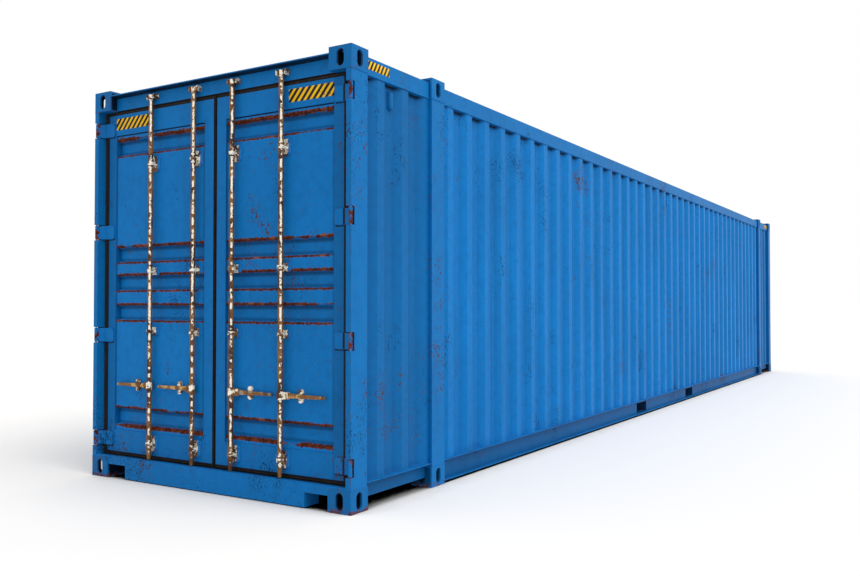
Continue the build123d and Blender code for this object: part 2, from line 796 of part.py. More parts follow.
seal_front = LEAF_FRONT + SEAL_SET + LIP_RIDGE
seal_side = POST_FACE + JAMB_GAP
seal_low = SILL_TOP + SEAL_END_GAP
seal_high = HEADER_Z0 - SEAL_END_GAP
with BuildPart() as seal:
    for v0, v1 in ((seal_side, LEAF_SIDE), (SIDE - SEAM_HALF, SIDE - LIP_FROM_CENTRE)):
        upright([rear(u, v) for u, v in seal_points(v0, v1, seal_front)], seal_low, seal_high)
    for z0, z1 in ((seal_low, LEAF_Z0), (LEAF_Z1, seal_high)):
        across([(-END + u, z) for u, z in seal_points(z0, z1, seal_front)], hinge_y + 0.5, -SEAM_HALF - 0.5)
door_piece(seal.part, "door_seal")

with BuildPart() as blades:
    plan = [
        (9, 24),
        (28, 33),
        (BLADE_FRONT, 62),
        (BLADE_FRONT, BLADE_END),
        (LEAF_FRONT, BLADE_END),
        (LEAF_FRONT, 54),
        (24, 8),
    ]
    for z in HINGE_Z:
        low = z - BLADE_H / 2
        high = z + BLADE_H / 2
        upright([rear(u, v) for u, v in plan], low, high)
        free_edges = blades.edges().filter_by(Axis.X).group_by(Axis.Y)[-1]
        fillet(free_edges.filter_by_position(Axis.Z, low - 1, high + 1), BLADE_CORNER)
        with BuildSketch(Plane.XY.offset(low)):
            with Locations(rear(PIN_IN, PIN_IN)):
                Circle(BARREL_R)
        extrude(amount=BLADE_H)
        with BuildSketch(Plane.XY.offset(low)):
            with Locations(rear(PIN_IN, PIN_IN)):
                Circle(EYE_R)
        extrude(amount=BLADE_H, mode=Mode.SUBTRACT)
door_piece(blades.part, "hinge_blades")

with BuildPart() as guides:
    for y_bar in (-INNER_BAR, -OUTER_BAR):
        for z, tall in GUIDES:
            seat = LEAF_FRONT if z < PANEL_Z0 else LEAF_FRONT + PANEL_SET
            strap_z0 = z - STRAP_H / 2
            plate_x = -END + seat - GUIDE_PLATE
            with BuildSketch(Plane.YZ.offset(plate_x)):
                with Locations((y_bar, z)):
                    RectangleRounded(GUIDE_W, tall, GUIDE_CORNER)
            extrude(amount=GUIDE_PLATE)
            strap_z1 = strap_z0 + STRAP_H
            block(-END + BAR_AXIS, plate_x, y_bar - STRAP_R, y_bar + STRAP_R, strap_z0, strap_z1)
            with BuildSketch(Plane.XY.offset(strap_z0)):
                with Locations((-END + BAR_AXIS, y_bar)):
                    Circle(STRAP_R)
            extrude(amount=STRAP_H)
            with BuildSketch(Plane.XY.offset(strap_z0)):
                with Locations((-END + BAR_AXIS, y_bar)):
                    Circle(BORE_R)
            extrude(amount=STRAP_H, mode=Mode.SUBTRACT)
door_piece(guides.part, "bar_guides")

with BuildPart() as rests:
    face = -END + LEAF_FRONT + PANEL_SET
    plate_front = -END + HANDLE_U0 + HANDLE_T + REST_GAP
    ear_r = REST_W / 2
    for y_bar in (-INNER_BAR, -OUTER_BAR):
        y = y_bar - REST_OUT
        with BuildSketch(Plane.YZ.offset(plate_front)):
            with Locations((y, HANDLE_Z)):
                Rectangle(REST_WAIST, REST_H - 2 * ear_r)
            with Locations((y, HANDLE_Z - REST_H / 2 + ear_r), (y, HANDLE_Z + REST_H / 2 - ear_r)):
                Circle(ear_r)
        extrude(amount=face - plate_front)
door_piece(rests.part, "handle_rests")

# Locking bars, each with its cam and handle hub


def locking_bar(y_bar):
    """A bar with a tapered foot, a cam at the top and a forked hub for its handle."""
    x = -END + BAR_AXIS
    fork_y = y_bar - PIVOT_OUT
    fork_front = -END + HANDLE_U0 - FORK_GAP
    fork_back = -END + HANDLE_U0 + HANDLE_T + FORK_GAP
    with BuildPart() as bar:
        with BuildSketch(Plane.XY.offset(BAR_Z0 + FOOT_TAPER)):
            with Locations((x, y_bar)):
                Circle(BAR_R)
        extrude(amount=CAM_Z0 - BAR_Z0 - FOOT_TAPER)
        with BuildSketch(Plane.XY.offset(BAR_Z0)):
            with Locations((x, y_bar)):
                Circle(BAR_R - 5)
        with BuildSketch(Plane.XY.offset(BAR_Z0 + FOOT_TAPER)):
            with Locations((x, y_bar)):
                Circle(BAR_R)
        loft()
        with BuildSketch(Plane.XY.offset(CAM_Z0)):
            with Locations((x, y_bar)):
                Circle(CAM_R)
        extrude(amount=CAM_Z1 - CAM_Z0)
        block(x, x + CAM_NOSE, y_bar - 9, y_bar + 9, CAM_Z0, CAM_Z1)
        with BuildSketch(Plane.XY.offset(HANDLE_Z - HUB_H / 2)):
            with Locations((x, y_bar)):
                Circle(HUB_R)
        extrude(amount=HUB_H)
        for x0, x1 in ((fork_front - FORK_T, fork_front), (fork_back, fork_back + FORK_T)):
            block(x0, x1, fork_y - 16, y_bar, HANDLE_Z - HUB_H / 2 + 4, HANDLE_Z + HUB_H / 2 - 4)
        with BuildSketch(Plane.YZ.offset(fork_front - FORK_T - 3)):
            with Locations((fork_y, HANDLE_Z)):
                Circle(PIVOT_R)
        extrude(amount=fork_back - fork_front + 2 * FORK_T + 6)
    return bar.part


def bar_handle(y_bar):
    """A flat tapered handle with its pivot eye, pointing to the hinge side."""
    x0 = -END + HANDLE_U0
    fork_y = y_bar - PIVOT_OUT
    tip_y = y_bar - HANDLE_LENGTH
    half = HANDLE_ROOT / 2
    with BuildPart() as handle:
        with BuildSketch(Plane.YZ.offset(x0)):
            with Locations((fork_y, HANDLE_Z)):
                Circle(half - 2)
            with BuildLine():
                Polyline(
                    (fork_y, HANDLE_Z - half + 2),
                    (fork_y, HANDLE_Z + half - 2),
                    (fork_y - 70, HANDLE_Z + half - 6),
                    (tip_y, HANDLE_Z + HANDLE_TIP / 2),
                    (tip_y, HANDLE_Z - HANDLE_TIP / 2),
                    (fork_y - 70, HANDLE_Z - half + 6),
                    close=True,
                )
            make_face()
            with Locations((fork_y, HANDLE_Z)):
                Circle(HANDLE_EYE, mode=Mode.SUBTRACT)
        extrude(amount=HANDLE_T)
    return handle.part


for name, y_bar in (("inner", -INNER_BAR), ("outer", -OUTER_BAR)):
    door_piece(locking_bar(y_bar), name + "_locking_bar")
    door_piece(bar_handle(y_bar), name + "_handle")
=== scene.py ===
"""Dresses the 45 ft high-cube container: worn blue paint, rusty door gear, weld beads, light and camera.

Metres, in the part's own frame: doors at -X, right door at -Y, ground at Z = 0.
"""

from __future__ import annotations

import json
import logging
import math
from collections.abc import Callable, Sequence
from dataclasses import dataclass, field, replace
from enum import Enum

import bpy
import numpy as np
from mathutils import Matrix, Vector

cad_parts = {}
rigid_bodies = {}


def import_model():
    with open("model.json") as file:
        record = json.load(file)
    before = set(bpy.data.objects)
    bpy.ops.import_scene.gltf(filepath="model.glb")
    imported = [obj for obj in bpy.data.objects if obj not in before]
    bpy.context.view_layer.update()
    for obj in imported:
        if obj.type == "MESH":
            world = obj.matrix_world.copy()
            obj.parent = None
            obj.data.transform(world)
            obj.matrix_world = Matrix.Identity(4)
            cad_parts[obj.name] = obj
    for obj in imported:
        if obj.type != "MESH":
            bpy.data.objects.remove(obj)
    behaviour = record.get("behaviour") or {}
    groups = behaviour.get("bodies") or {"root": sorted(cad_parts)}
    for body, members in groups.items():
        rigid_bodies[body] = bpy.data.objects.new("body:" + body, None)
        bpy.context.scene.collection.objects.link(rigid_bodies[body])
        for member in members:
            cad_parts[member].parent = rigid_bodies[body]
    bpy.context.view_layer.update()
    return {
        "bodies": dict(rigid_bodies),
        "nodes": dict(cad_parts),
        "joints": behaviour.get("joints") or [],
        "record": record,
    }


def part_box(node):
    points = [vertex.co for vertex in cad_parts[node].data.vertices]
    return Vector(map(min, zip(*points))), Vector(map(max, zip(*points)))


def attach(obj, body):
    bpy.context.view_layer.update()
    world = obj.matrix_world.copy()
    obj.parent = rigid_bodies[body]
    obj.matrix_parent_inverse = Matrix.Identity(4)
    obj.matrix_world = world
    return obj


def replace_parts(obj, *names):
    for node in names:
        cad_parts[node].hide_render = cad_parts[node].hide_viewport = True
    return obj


LOG = logging.getLogger("container")

Colour = tuple[float, float, float, float]
Point = tuple[float, float, float]
Socket = bpy.types.NodeSocket


def written(red: int, green: int, blue: int) -> Colour:
    """Turn a colour written in 0 to 255 steps into the linear values that a shader takes.

    Args:
        red: Red step.
        green: Green step.
        blue: Blue step.

    Returns:
        Linear red, green, blue and full alpha.
    """
    steps = [c / 255 for c in (red, green, blue)]
    linear = [s / 12.92 if s <= 0.04045 else ((s + 0.055) / 1.055) ** 2.4 for s in steps]
    return (linear[0], linear[1], linear[2], 1.0)


class Side(Enum):
    """Right is the photo's near side wall, at -Y."""

    RIGHT = -1
    LEFT = 1

    @property
    def word(self) -> str:
        """The side's name as it stands in the node names."""
        return self.name.lower()


@dataclass(frozen=True)
class BoxSizes:
    """Main sizes of the box, repeated from the part in metres."""

    length: float = 13.716
    width: float = 2.438
    height: float = 2.896
    casting_length: float = 0.178
    casting_width: float = 0.178
    casting_height: float = 0.148
    midway: float = 0.945
    crest: float = 0.032
    recess: float = 0.068
    top_rail_face: float = 0.025
    top_rail_low: float = 2.748
    top_rail_high: float = 2.862
    ledge: float = 0.172
    leaf_low: float = 0.185
    leaf_high: float = 2.724
    leaf_edge: float = 0.090
    leaf_front: float = 0.060
    panel_front: float = 0.066
    panel_high: float = 2.564
    stile: float = 0.090
    seam_half: float = 0.0125
    inner_bar: float = 0.186
    outer_bar: float = 0.625
    bar_axis: float = 0.030
    bar_radius: float = 0.017
    vent_from_end: float = 0.50425

    @property
    def end(self) -> float:
        """Half of the length."""
        return self.length / 2

    @property
    def side(self) -> float:
        """Half of the width."""
        return self.width / 2

    @property
    def leaf_end(self) -> float:
        """Distance of a leaf's hinge edge from the middle plane."""
        return self.side - self.leaf_edge

    @property
    def ribs(self) -> list[tuple[float, float]]:
        """Heights of the lower and upper edges of the five pressed ribs in a door."""
        return [(0.385, 0.521), (1.1653, 1.2893), (1.3867, 1.5107), (1.5991, 1.7231), (2.402, 2.530)]

    @property
    def guides(self) -> list[tuple[float, float]]:
        """Middle height and height of the plates that hold each bar."""
        return [(0.279, 0.112), (1.094, 0.056), (1.5307, 0.056), (2.315, 0.112)]

    @property
    def blades(self) -> list[float]:
        """Middle heights of the four hinge blades of a door."""
        return [0.283, 1.059, 1.835, 2.611]


SIZES = BoxSizes()


@dataclass
class Surface:
    """Points with four-sided and three-sided faces, as arrays."""

    points: np.ndarray
    quads: np.ndarray = field(default_factory=lambda: np.zeros((0, 4), int))
    triangles: np.ndarray = field(default_factory=lambda: np.zeros((0, 3), int))

    @staticmethod
    def joined(parts: Sequence[Surface]) -> Surface:
        """Put several surfaces into one, counting each one's points on from the last.

        Args:
            parts: The surfaces.

        Returns:
            One surface.
        """
        starts = np.cumsum([0] + [len(p.points) for p in parts[:-1]])
        return Surface(
            np.concatenate([p.points for p in parts]),
            np.concatenate([p.quads + s for p, s in zip(parts, starts)]),
            np.concatenate([p.triangles + s for p, s in zip(parts, starts)]),
        )

    def copies(self, centres: np.ndarray, across: Point, up: Point, out: Point) -> Surface:
        """Repeat this surface at many centres, with its x, y and z laid along three directions.

        Args:
            centres: One row of three numbers for each copy.
            across: Direction of the surface's own x.
            up: Direction of the surface's own y.
            out: Direction of the surface's own z.

        Returns:
            One surface with a copy at each centre.
        """
        axes = np.array([across, up, out], float)
        placed = self.points @ axes
        count, size = len(centres), len(self.points)
        points = (centres[:, None, :] + placed[None, :, :]).reshape(-1, 3)
        step = (np.arange(count) * size)[:, None, None]
        turned = np.linalg.det(axes) < 0
        quads = self.quads[:, ::-1] if turned else self.quads
        triangles = self.triangles[:, ::-1] if turned else self.triangles
        return Surface(
            points,
            (quads[None] + step).reshape(-1, 4),
            (triangles[None] + step).reshape(-1, 3),
        )


def grid_faces(rows: int, columns: int) -> np.ndarray:
    """Faces of a grid of points stored row by row, whose last column joins the first.

    Face (i, j) joins rows i, i+1 and columns j, j+1.

    Args:
        rows: Number of rows of points.
        columns: Number of points in a row.

    Returns:
        An array of four point numbers for each face.
    """
    i, j = np.meshgrid(np.arange(rows - 1), np.arange(columns), indexing="ij")
    k = (j + 1) % columns
    faces = np.stack([i * columns + j, i * columns + k, (i + 1) * columns + k, (i + 1) * columns + j], -1)
    return faces.reshape(-1, 4)


def closed_stack(rings: np.ndarray) -> Surface:
    """Skin a stack of rings, bottom to top and anticlockwise from above, and close both ends with a fan.

    Args:
        rings: Array of ring, point on the ring, coordinate.

    Returns:
        A closed surface.
    """
    rows, columns = rings.shape[:2]
    points = np.concatenate([rings.reshape(-1, 3), rings[0].mean(0)[None], rings[-1].mean(0)[None]])
    j = np.arange(columns)
    k = (j + 1) % columns
    low, high = rows * columns, rows * columns + 1
    top = (rows - 1) * columns
    fans = np.concatenate(
        [np.stack([k, j, np.full(columns, low)], -1), np.stack([top + j, top + k, np.full(columns, high)], -1)]
    )
    return Surface(points, grid_faces(rows, columns), fans)


def lathe(profile: Sequence[tuple[float, float]], sides: int) -> Surface:
    """Turn a profile about its own z: the point at angle a is (r cos a, r sin a, z).

    Args:
        profile: Radius and height of each ring, from the foot up.
        sides: Number of points on a ring.

    Returns:
        A closed turned surface.
    """
    turned = np.array(profile, float)
    angle = np.arange(sides) * 2 * math.pi / sides
    circle = np.stack([np.cos(angle), np.sin(angle)], -1)
    flat = turned[:, 0, None, None] * circle[None]
    height = np.broadcast_to(turned[:, 1, None, None], (len(turned), sides, 1))
    return closed_stack(np.concatenate([flat, height], -1))


def rounded_stack(
    half_width: float, half_height: float, corner: float, levels: Sequence[tuple[float, float]], steps: int = 5
) -> Surface:
    """A raised plate: a rectangle with round corners, drawn in by an amount at each level.

    A corner point at angle a is the corner's centre plus (r cos a, r sin a), with r and the
    centre's distance both less the level's inset.

    Args:
        half_width: Half size along the plate's own x.
        half_height: Half size along its own y.
        corner: Radius of the corners.
        levels: Inset and height of each ring, from the foot up.
        steps: Points along each corner.

    Returns:
        A closed plate.
    """
    turn = np.linspace(0, math.pi / 2, steps)
    angle = np.concatenate([turn + q * math.pi / 2 for q in range(4)])
    sign_x = np.repeat([1, -1, -1, 1], steps)
    sign_y = np.repeat([1, 1, -1, -1], steps)
    rings = []
    for inset, height in levels:
        radius = max(corner - inset, 0.0005)
        x = sign_x * (half_width - inset - radius) + radius * np.cos(angle)
        y = sign_y * (half_height - inset - radius) + radius * np.sin(angle)
        rings.append(np.stack([x, y, np.full_like(x, height)], -1))
    return closed_stack(np.array(rings))


def bead(path: np.ndarray, out: Point, radius: float = 0.0035, pitch: float = 0.012) -> Surface:
    """Carry a six-sided ring along a path as a rippled weld bead.

    The ring's radius is the bead's radius times 1 plus 0.18 sin of the distance over the ripple.

    Args:
        path: Corner points of the bead's line.
        out: A direction that the path never follows, away from the plate.
        radius: The bead's radius.
        pitch: Distance between rings.

    Returns:
        A closed bead.
    """
    gone = np.concatenate([[0], np.cumsum(np.linalg.norm(np.diff(path, axis=0), axis=1))])
    count = max(int(gone[-1] / pitch), 3)
    at = np.linspace(0, gone[-1], count)
    line = np.stack([np.interp(at, gone, path[:, c]) for c in range(3)], -1)
    ahead = np.gradient(line, axis=0)
    ahead /= np.linalg.norm(ahead, axis=1)[:, None]
    lift = np.array(out, float)[None] - (ahead @ np.array(out, float))[:, None] * ahead
    lift /= np.linalg.norm(lift, axis=1)[:, None]
    beside = np.cross(lift, ahead)
    ripple = radius * (1 + 0.18 * np.sin(at * 2 * math.pi / (pitch * 3.7)))
    angle = np.arange(6) * math.pi / 3
    ring = np.cos(angle)[None, :, None] * beside[:, None] + np.sin(angle)[None, :, None] * lift[:, None]
    rings = line[:, None] + ripple[:, None, None] * ring
    return closed_stack(rings[:, ::-1])


class Graph:
    """A node tree being wired, either a material's or a group's."""

    def __init__(self, tree: bpy.types.NodeTree) -> None:
        """Keep the tree and empty it."""
        self.tree = tree
        tree.nodes.clear()

    def add(self, kind: str, **settings: object) -> bpy.types.Node:
        """Add a node and set its own properties.

        Args:
            kind: The node's type name without its ShaderNode prefix.
            **settings: Properties of the node.

        Returns:
            The node.
        """
        node = self.tree.nodes.new(kind if kind.startswith("Node") else "ShaderNode" + kind)
        for key, value in settings.items():
            setattr(node, key, value)
        return node

    def feed(self, socket: Socket, source: Socket | float | Sequence[float]) -> None:
        """Link a socket to an output, or set it to a plain value.

        Args:
            socket: The input.
            source: An output socket or a value.
        """
        if isinstance(source, bpy.types.NodeSocket):
            self.tree.links.new(source, socket)
        else:
            socket.default_value = source

    def feed_all(self, node: bpy.types.Node, given: dict[int | str, Socket | float | Sequence[float]]) -> Socket:
        """Feed several inputs of a node, by their names or numbers.

        Args:
            node: The node.
            given: What each input takes.

        Returns:
            The node's first output.
        """
        for key, source in given.items():
            self.feed(node.inputs[key], source)
        return node.outputs[0]

    def math(self, operation: str, *values: Socket | float) -> Socket:
        """One step of arithmetic, by the Math node's name for it."""
        return self.feed_all(self.add("Math", operation=operation), dict(enumerate(values)))

    def times(self, a: Socket | float, b: Socket | float) -> Socket:
        """a times b."""
        return self.math("MULTIPLY", a, b)

    def plus(self, a: Socket | float, b: Socket | float) -> Socket:
        """a plus b."""
        return self.math("ADD", a, b)

    def minus(self, a: Socket | float, b: Socket | float) -> Socket:
        """a less b."""
        return self.math("SUBTRACT", a, b)

    def most(self, a: Socket | float, b: Socket | float) -> Socket:
        """The greater of a and b."""
        return self.math("MAXIMUM", a, b)

    def size(self, a: Socket) -> Socket:
        """a without its sign."""
        return self.math("ABSOLUTE", a)

    def parts(self, place: Socket) -> tuple[Socket, Socket, Socket]:
        """The x, y and z of a place."""
        node = self.add("SeparateXYZ")
        self.feed(node.inputs[0], place)
        return node.outputs[0], node.outputs[1], node.outputs[2]

    def dot(self, a: Socket, b: Socket | Point) -> Socket:
        """The dot product of two vectors."""
        node = self.add("VectorMath", operation="DOT_PRODUCT")
        self.feed_all(node, {0: a, 1: b})
        return node.outputs["Value"]

    def ramp(
        self, value: Socket, low: Socket | float, high: Socket | float, to: tuple[float, float] = (0, 1)
    ) -> Socket:
        """A smooth step from low to high.

        Args:
            value: What is measured.
            low: Where the step starts.
            high: Where it ends.
            to: The values at the start and end.

        Returns:
            The stepped value.
        """
        given = {"Value": value, "From Min": low, "From Max": high, "To Min": to[0], "To Max": to[1]}
        return self.feed_all(self.add("MapRange", interpolation_type="SMOOTHSTEP"), given)

    def mix(self, share: Socket | float, a: Socket | Colour, b: Socket | Colour) -> Socket:
        """Blend two colours.

        Args:
            share: How much of b.
            a: First colour.
            b: Second colour.

        Returns:
            The colour.
        """
        node = self.add("Mix", data_type="RGBA")
        self.feed_all(node, {0: share, 6: a, 7: b})
        return node.outputs[2]

    def noise(self, vector: Socket, scale: Socket | float, detail: float = 3.0, rough: float = 0.55) -> Socket:
        """Fractal noise from 0 to 1.

        Args:
            vector: Where it is read.
            scale: Number of features in a metre.
            detail: Number of finer layers.
            rough: Strength of the finer layers.

        Returns:
            The noise value.
        """
        given = {"Vector": vector, "Scale": scale, "Detail": detail, "Roughness": rough}
        return self.feed_all(self.add("TexNoise", noise_dimensions="3D"), given)

    def stretched(self, vector: Socket, factors: Point, shift: Point = (0, 0, 0)) -> Socket:
        """A place multiplied by a factor and then shifted along each axis."""
        return self.feed_all(self.add("VectorMath", operation="MULTIPLY_ADD"), {0: vector, 1: factors, 2: shift})

    def bump(self, height: Socket, strength: float, distance: float, under: Socket | None = None) -> Socket:
        """A normal that a height leans over.

        Args:
            height: The height.
            strength: How much of it shows.
            distance: How many metres a height of one stands for.
            under: The normal it adds to, or none for the face's own.

        Returns:
            The normal.
        """
        given = {"Strength": strength, "Distance": distance, "Height": height}
        if under is not None:
            given["Normal"] = under
        return self.feed_all(self.add("Bump"), given)


@dataclass
class Effect:
    """A shared effect: a node group that is built once and placed with its own values.

    The wiring takes the group's graph and its inputs by name, and gives the output.
    """

    name: str
    wiring: Callable[[Graph, dict[str, Socket]], Socket]
    inputs: tuple[str, ...] = ()
    colour: bool = False
    tree: bpy.types.NodeTree | None = None

    def group(self) -> bpy.types.NodeTree:
        """The node group.

        Returns:
            The group, built on the first call.
        """
        if self.tree is None:
            self.tree = bpy.data.node_groups.new(self.name, "ShaderNodeTree")
            sockets = self.tree.interface
            sockets.new_socket("Place", in_out="INPUT", socket_type="NodeSocketVector")
            for label in self.inputs:
                sockets.new_socket(label, in_out="INPUT", socket_type="NodeSocketFloat")
            label, kind = ("Color", "NodeSocketColor") if self.colour else ("Mask", "NodeSocketFloat")
            sockets.new_socket(label, in_out="OUTPUT", socket_type=kind)
            graph = Graph(self.tree)
            entry, leave = graph.add("NodeGroupInput"), graph.add("NodeGroupOutput")
            given = {label: entry.outputs[label] for label in ("Place", *self.inputs)}
            graph.feed(leave.inputs[0], self.wiring(graph, given))
        return self.tree

    def at(self, graph: Graph, place: Socket, **values: float | Socket) -> Socket:
        """Place the effect in a material.

        Args:
            graph: The material's graph.
            place: Where its pattern is read.
            **values: The effect's own values.

        Returns:
            The effect's output.
        """
        return graph.feed_all(graph.add("Group", node_tree=self.group()), {"Place": place, **values})


def chips(g: Graph, given: dict[str, Socket]) -> Socket:
    """Small chips in clusters: fine noise plus two coarse noises, cut at one minus the density.

    Args:
        g: The group's graph.
        given: Its inputs by name.

    Returns:
        One on a chip.
    """
    place = given["Place"]
    fine = g.noise(g.stretched(place, (1, 1, 0.6)), given["Grain"])
    broad = g.noise(g.stretched(place, (1, 1, 0.8), (5.1, 2.3, 7.7)), 1.6, 1.0, 0.5)
    close = g.noise(g.stretched(place, (1, 1, 0.6), (1.7, 6.1, 3.2)), 7.0, 1.0, 0.5)
    lifted = g.plus(fine, g.times(g.minus(broad, 0.5), 0.5))
    lifted = g.plus(lifted, g.times(g.minus(close, 0.5), 0.45))
    edge = g.minus(1.0, given["Density"])
    return g.ramp(lifted, edge, g.plus(edge, 0.05))


def streaks(g: Graph, given: dict[str, Socket]) -> Socket:
    """Soft upright streaks: noise read with the height squeezed.

    Args:
        g: The group's graph.
        given: Its inputs by name.

    Returns:
        One on a streak.
    """
    tall = g.noise(g.stretched(given["Place"], (1, 1, 0.07)), 9.0, 3.0, 0.6)
    patches = g.noise(g.stretched(given["Place"], (1, 1, 0.5), (3.3, 8.1, 1.9)), 1.1, 2.0)
    return g.times(g.ramp(tall, 0.42, 0.72), g.ramp(patches, 0.38, 0.66))


def rust(g: Graph, given: dict[str, Socket]) -> Socket:
    """Mottled rust: two noises choose between dark, red and sandy brown.

    Args:
        g: The group's graph.
        given: Its inputs by name.

    Returns:
        The rust's colour.
    """
    fine = g.noise(given["Place"], 45.0, 4.0, 0.65)
    broad = g.noise(g.stretched(given["Place"], (1, 1, 1), (9.0, 4.0, 2.0)), 9.0, 2.0)
    body = g.mix(g.ramp(fine, 0.38, 0.62), written(66, 28, 16), written(114, 54, 32))
    return g.mix(g.ramp(broad, 0.58, 0.74), body, written(138, 82, 58))


def edges(g: Graph, given: dict[str, Socket]) -> Socket:
    """Wear along edges: how far the rounded normal turns from the face's own, broken by noise.

    Args:
        g: The group's graph.
        given: Its inputs by name.

    Returns:
        One where it is worn.
    """
    rounded = g.feed_all(g.add("Bevel", samples=4), {"Radius": given["Reach"]})
    bend = g.minus(1.0, g.size(g.dot(rounded, g.add("NewGeometry").outputs["True Normal"])))
    spots = g.noise(g.stretched(given["Place"], (1, 1, 0.5)), 22.0, 4.0, 0.65)
    kept = g.ramp(spots, given["Broken"], g.plus(given["Broken"], 0.08))
    return g.times(g.ramp(bend, 0.02, 0.12), kept)


def band(g: Graph, given: dict[str, Socket]) -> Socket:
    """A level band of rust: full where the height is within half a width of the middle, with ragged rims.

    Args:
        g: The group's graph.
        given: Its inputs by name.

    Returns:
        One in the band.
    """
    middle = given["Middle"]
    own_shift = g.feed_all(g.add("CombineXYZ"), {0: g.times(middle, 3.7), 2: g.times(middle, 11.3)})
    spread = g.stretched(given["Place"], (1, 1, 0.8))
    moved = g.feed_all(g.add("VectorMath", operation="ADD"), {0: spread, 1: own_shift})
    ragged = g.minus(g.noise(moved, 55.0, 3.0, 0.6), 0.5)
    kept = g.ramp(g.noise(moved, 3.6, 2.0, 0.6), 0.30, 0.46)
    gap = g.size(g.minus(g.parts(given["Place"])[2], middle))
    shaken = g.plus(gap, g.times(ragged, 0.03))
    reach = g.times(given["Half"], kept)
    return g.ramp(shaken, g.plus(reach, 0.004), g.minus(reach, 0.002))


def patch(g: Graph, given: dict[str, Socket]) -> Socket:
    """A patch of painted shade or of a rubber mark, full between two heights and two distances from the middle plane,
    fading outside.

    Args:
        g: The group's graph.
        given: Its inputs by name.

    Returns:
        One in the patch.
    """
    x, y, z = g.parts(given["Place"])
    fade = given["Fade"]
    mask = g.ramp(g.size(x), g.plus(given["Far"], fade), given["Far"])
    for value, low, high in ((z, given["Low"], given["High"]), (g.size(y), given["Inner"], given["Outer"])):
        rise = g.ramp(value, g.minus(low, fade), low)
        fall = g.ramp(value, g.plus(high, fade), high)
        mask = g.times(mask, g.times(rise, fall))
    return mask


CHIPS = Effect("chips in clusters", chips, ("Density", "Grain"))
STREAKS = Effect("upright streaks", streaks)
RUST = Effect("mottled rust", rust, colour=True)
EDGES = Effect("edge wear", edges, ("Reach", "Broken"))
BAND = Effect("level rust band", band, ("Middle", "Half"))
PATCH = Effect("grime patch", patch, ("Low", "High", "Inner", "Outer", "Far", "Fade"))

# Near-black brown for the lines along door gaps: partly rubber marks, partly painted shade in the gaps.
RUBBER_AND_GAP_SHADE = written(26, 22, 20)
DOOR_BASE = written(11, 117, 189)
FLECK = written(84, 52, 40)


class Finish:
    """A finish: a named material that is built once, when it is first asked for."""

    name: str
    _made: dict[str, bpy.types.Material] = {}

    def material(self) -> bpy.types.Material:
        """The finish's material.

        Returns:
            The material, built on the first call.
        """
        if self.name not in Finish._made:
            made = bpy.data.materials.new(self.name)
            made.use_nodes = True
            graph = Graph(made.node_tree)
            shader = graph.add("BsdfPrincipled")
            graph.feed(graph.add("OutputMaterial").inputs["Surface"], shader.outputs[0])
            graph.feed_all(shader, self.wire(graph, graph.add("TexCoord").outputs["Object"]))
            Finish._made[self.name] = made
        return Finish._made[self.name]

    def wire(self, graph: Graph, place: Socket) -> dict[str, Socket | float]:
        """Wire the finish in its own way.

        Args:
            graph: The material's graph.
            place: Object coordinates.

        Returns:
            What each of the shader's inputs takes.
        """
        raise NotImplementedError


@dataclass(frozen=True)
class Grime:
    """A dark patch, painted shade in most uses and a rubber mark in some: heights, distances from the middle plane,
    farthest distance along, fade and strength.
    """

    low: float
    high: float
    strength: float
    fade: float = 0.004
    inner: float = 0.0
    outer: float = 2.0
    far: float = 10.0
    # Near-black blue: the colour of painted shade.
    tint: Colour = written(4, 16, 32)

    def over(self, graph: Graph, place: Socket, colour: Socket) -> Socket:
        """The colour with this patch over it.

        Args:
            graph: The material's graph.
            place: Object coordinates.
            colour: The colour under it.

        Returns:
            The new colour.
        """
        limits = {"Low": self.low, "High": self.high, "Inner": self.inner, "Outer": self.outer}
        mask = PATCH.at(graph, place, **limits, Far=self.far, Fade=self.fade)
        return graph.mix(graph.times(mask, self.strength), colour, self.tint)


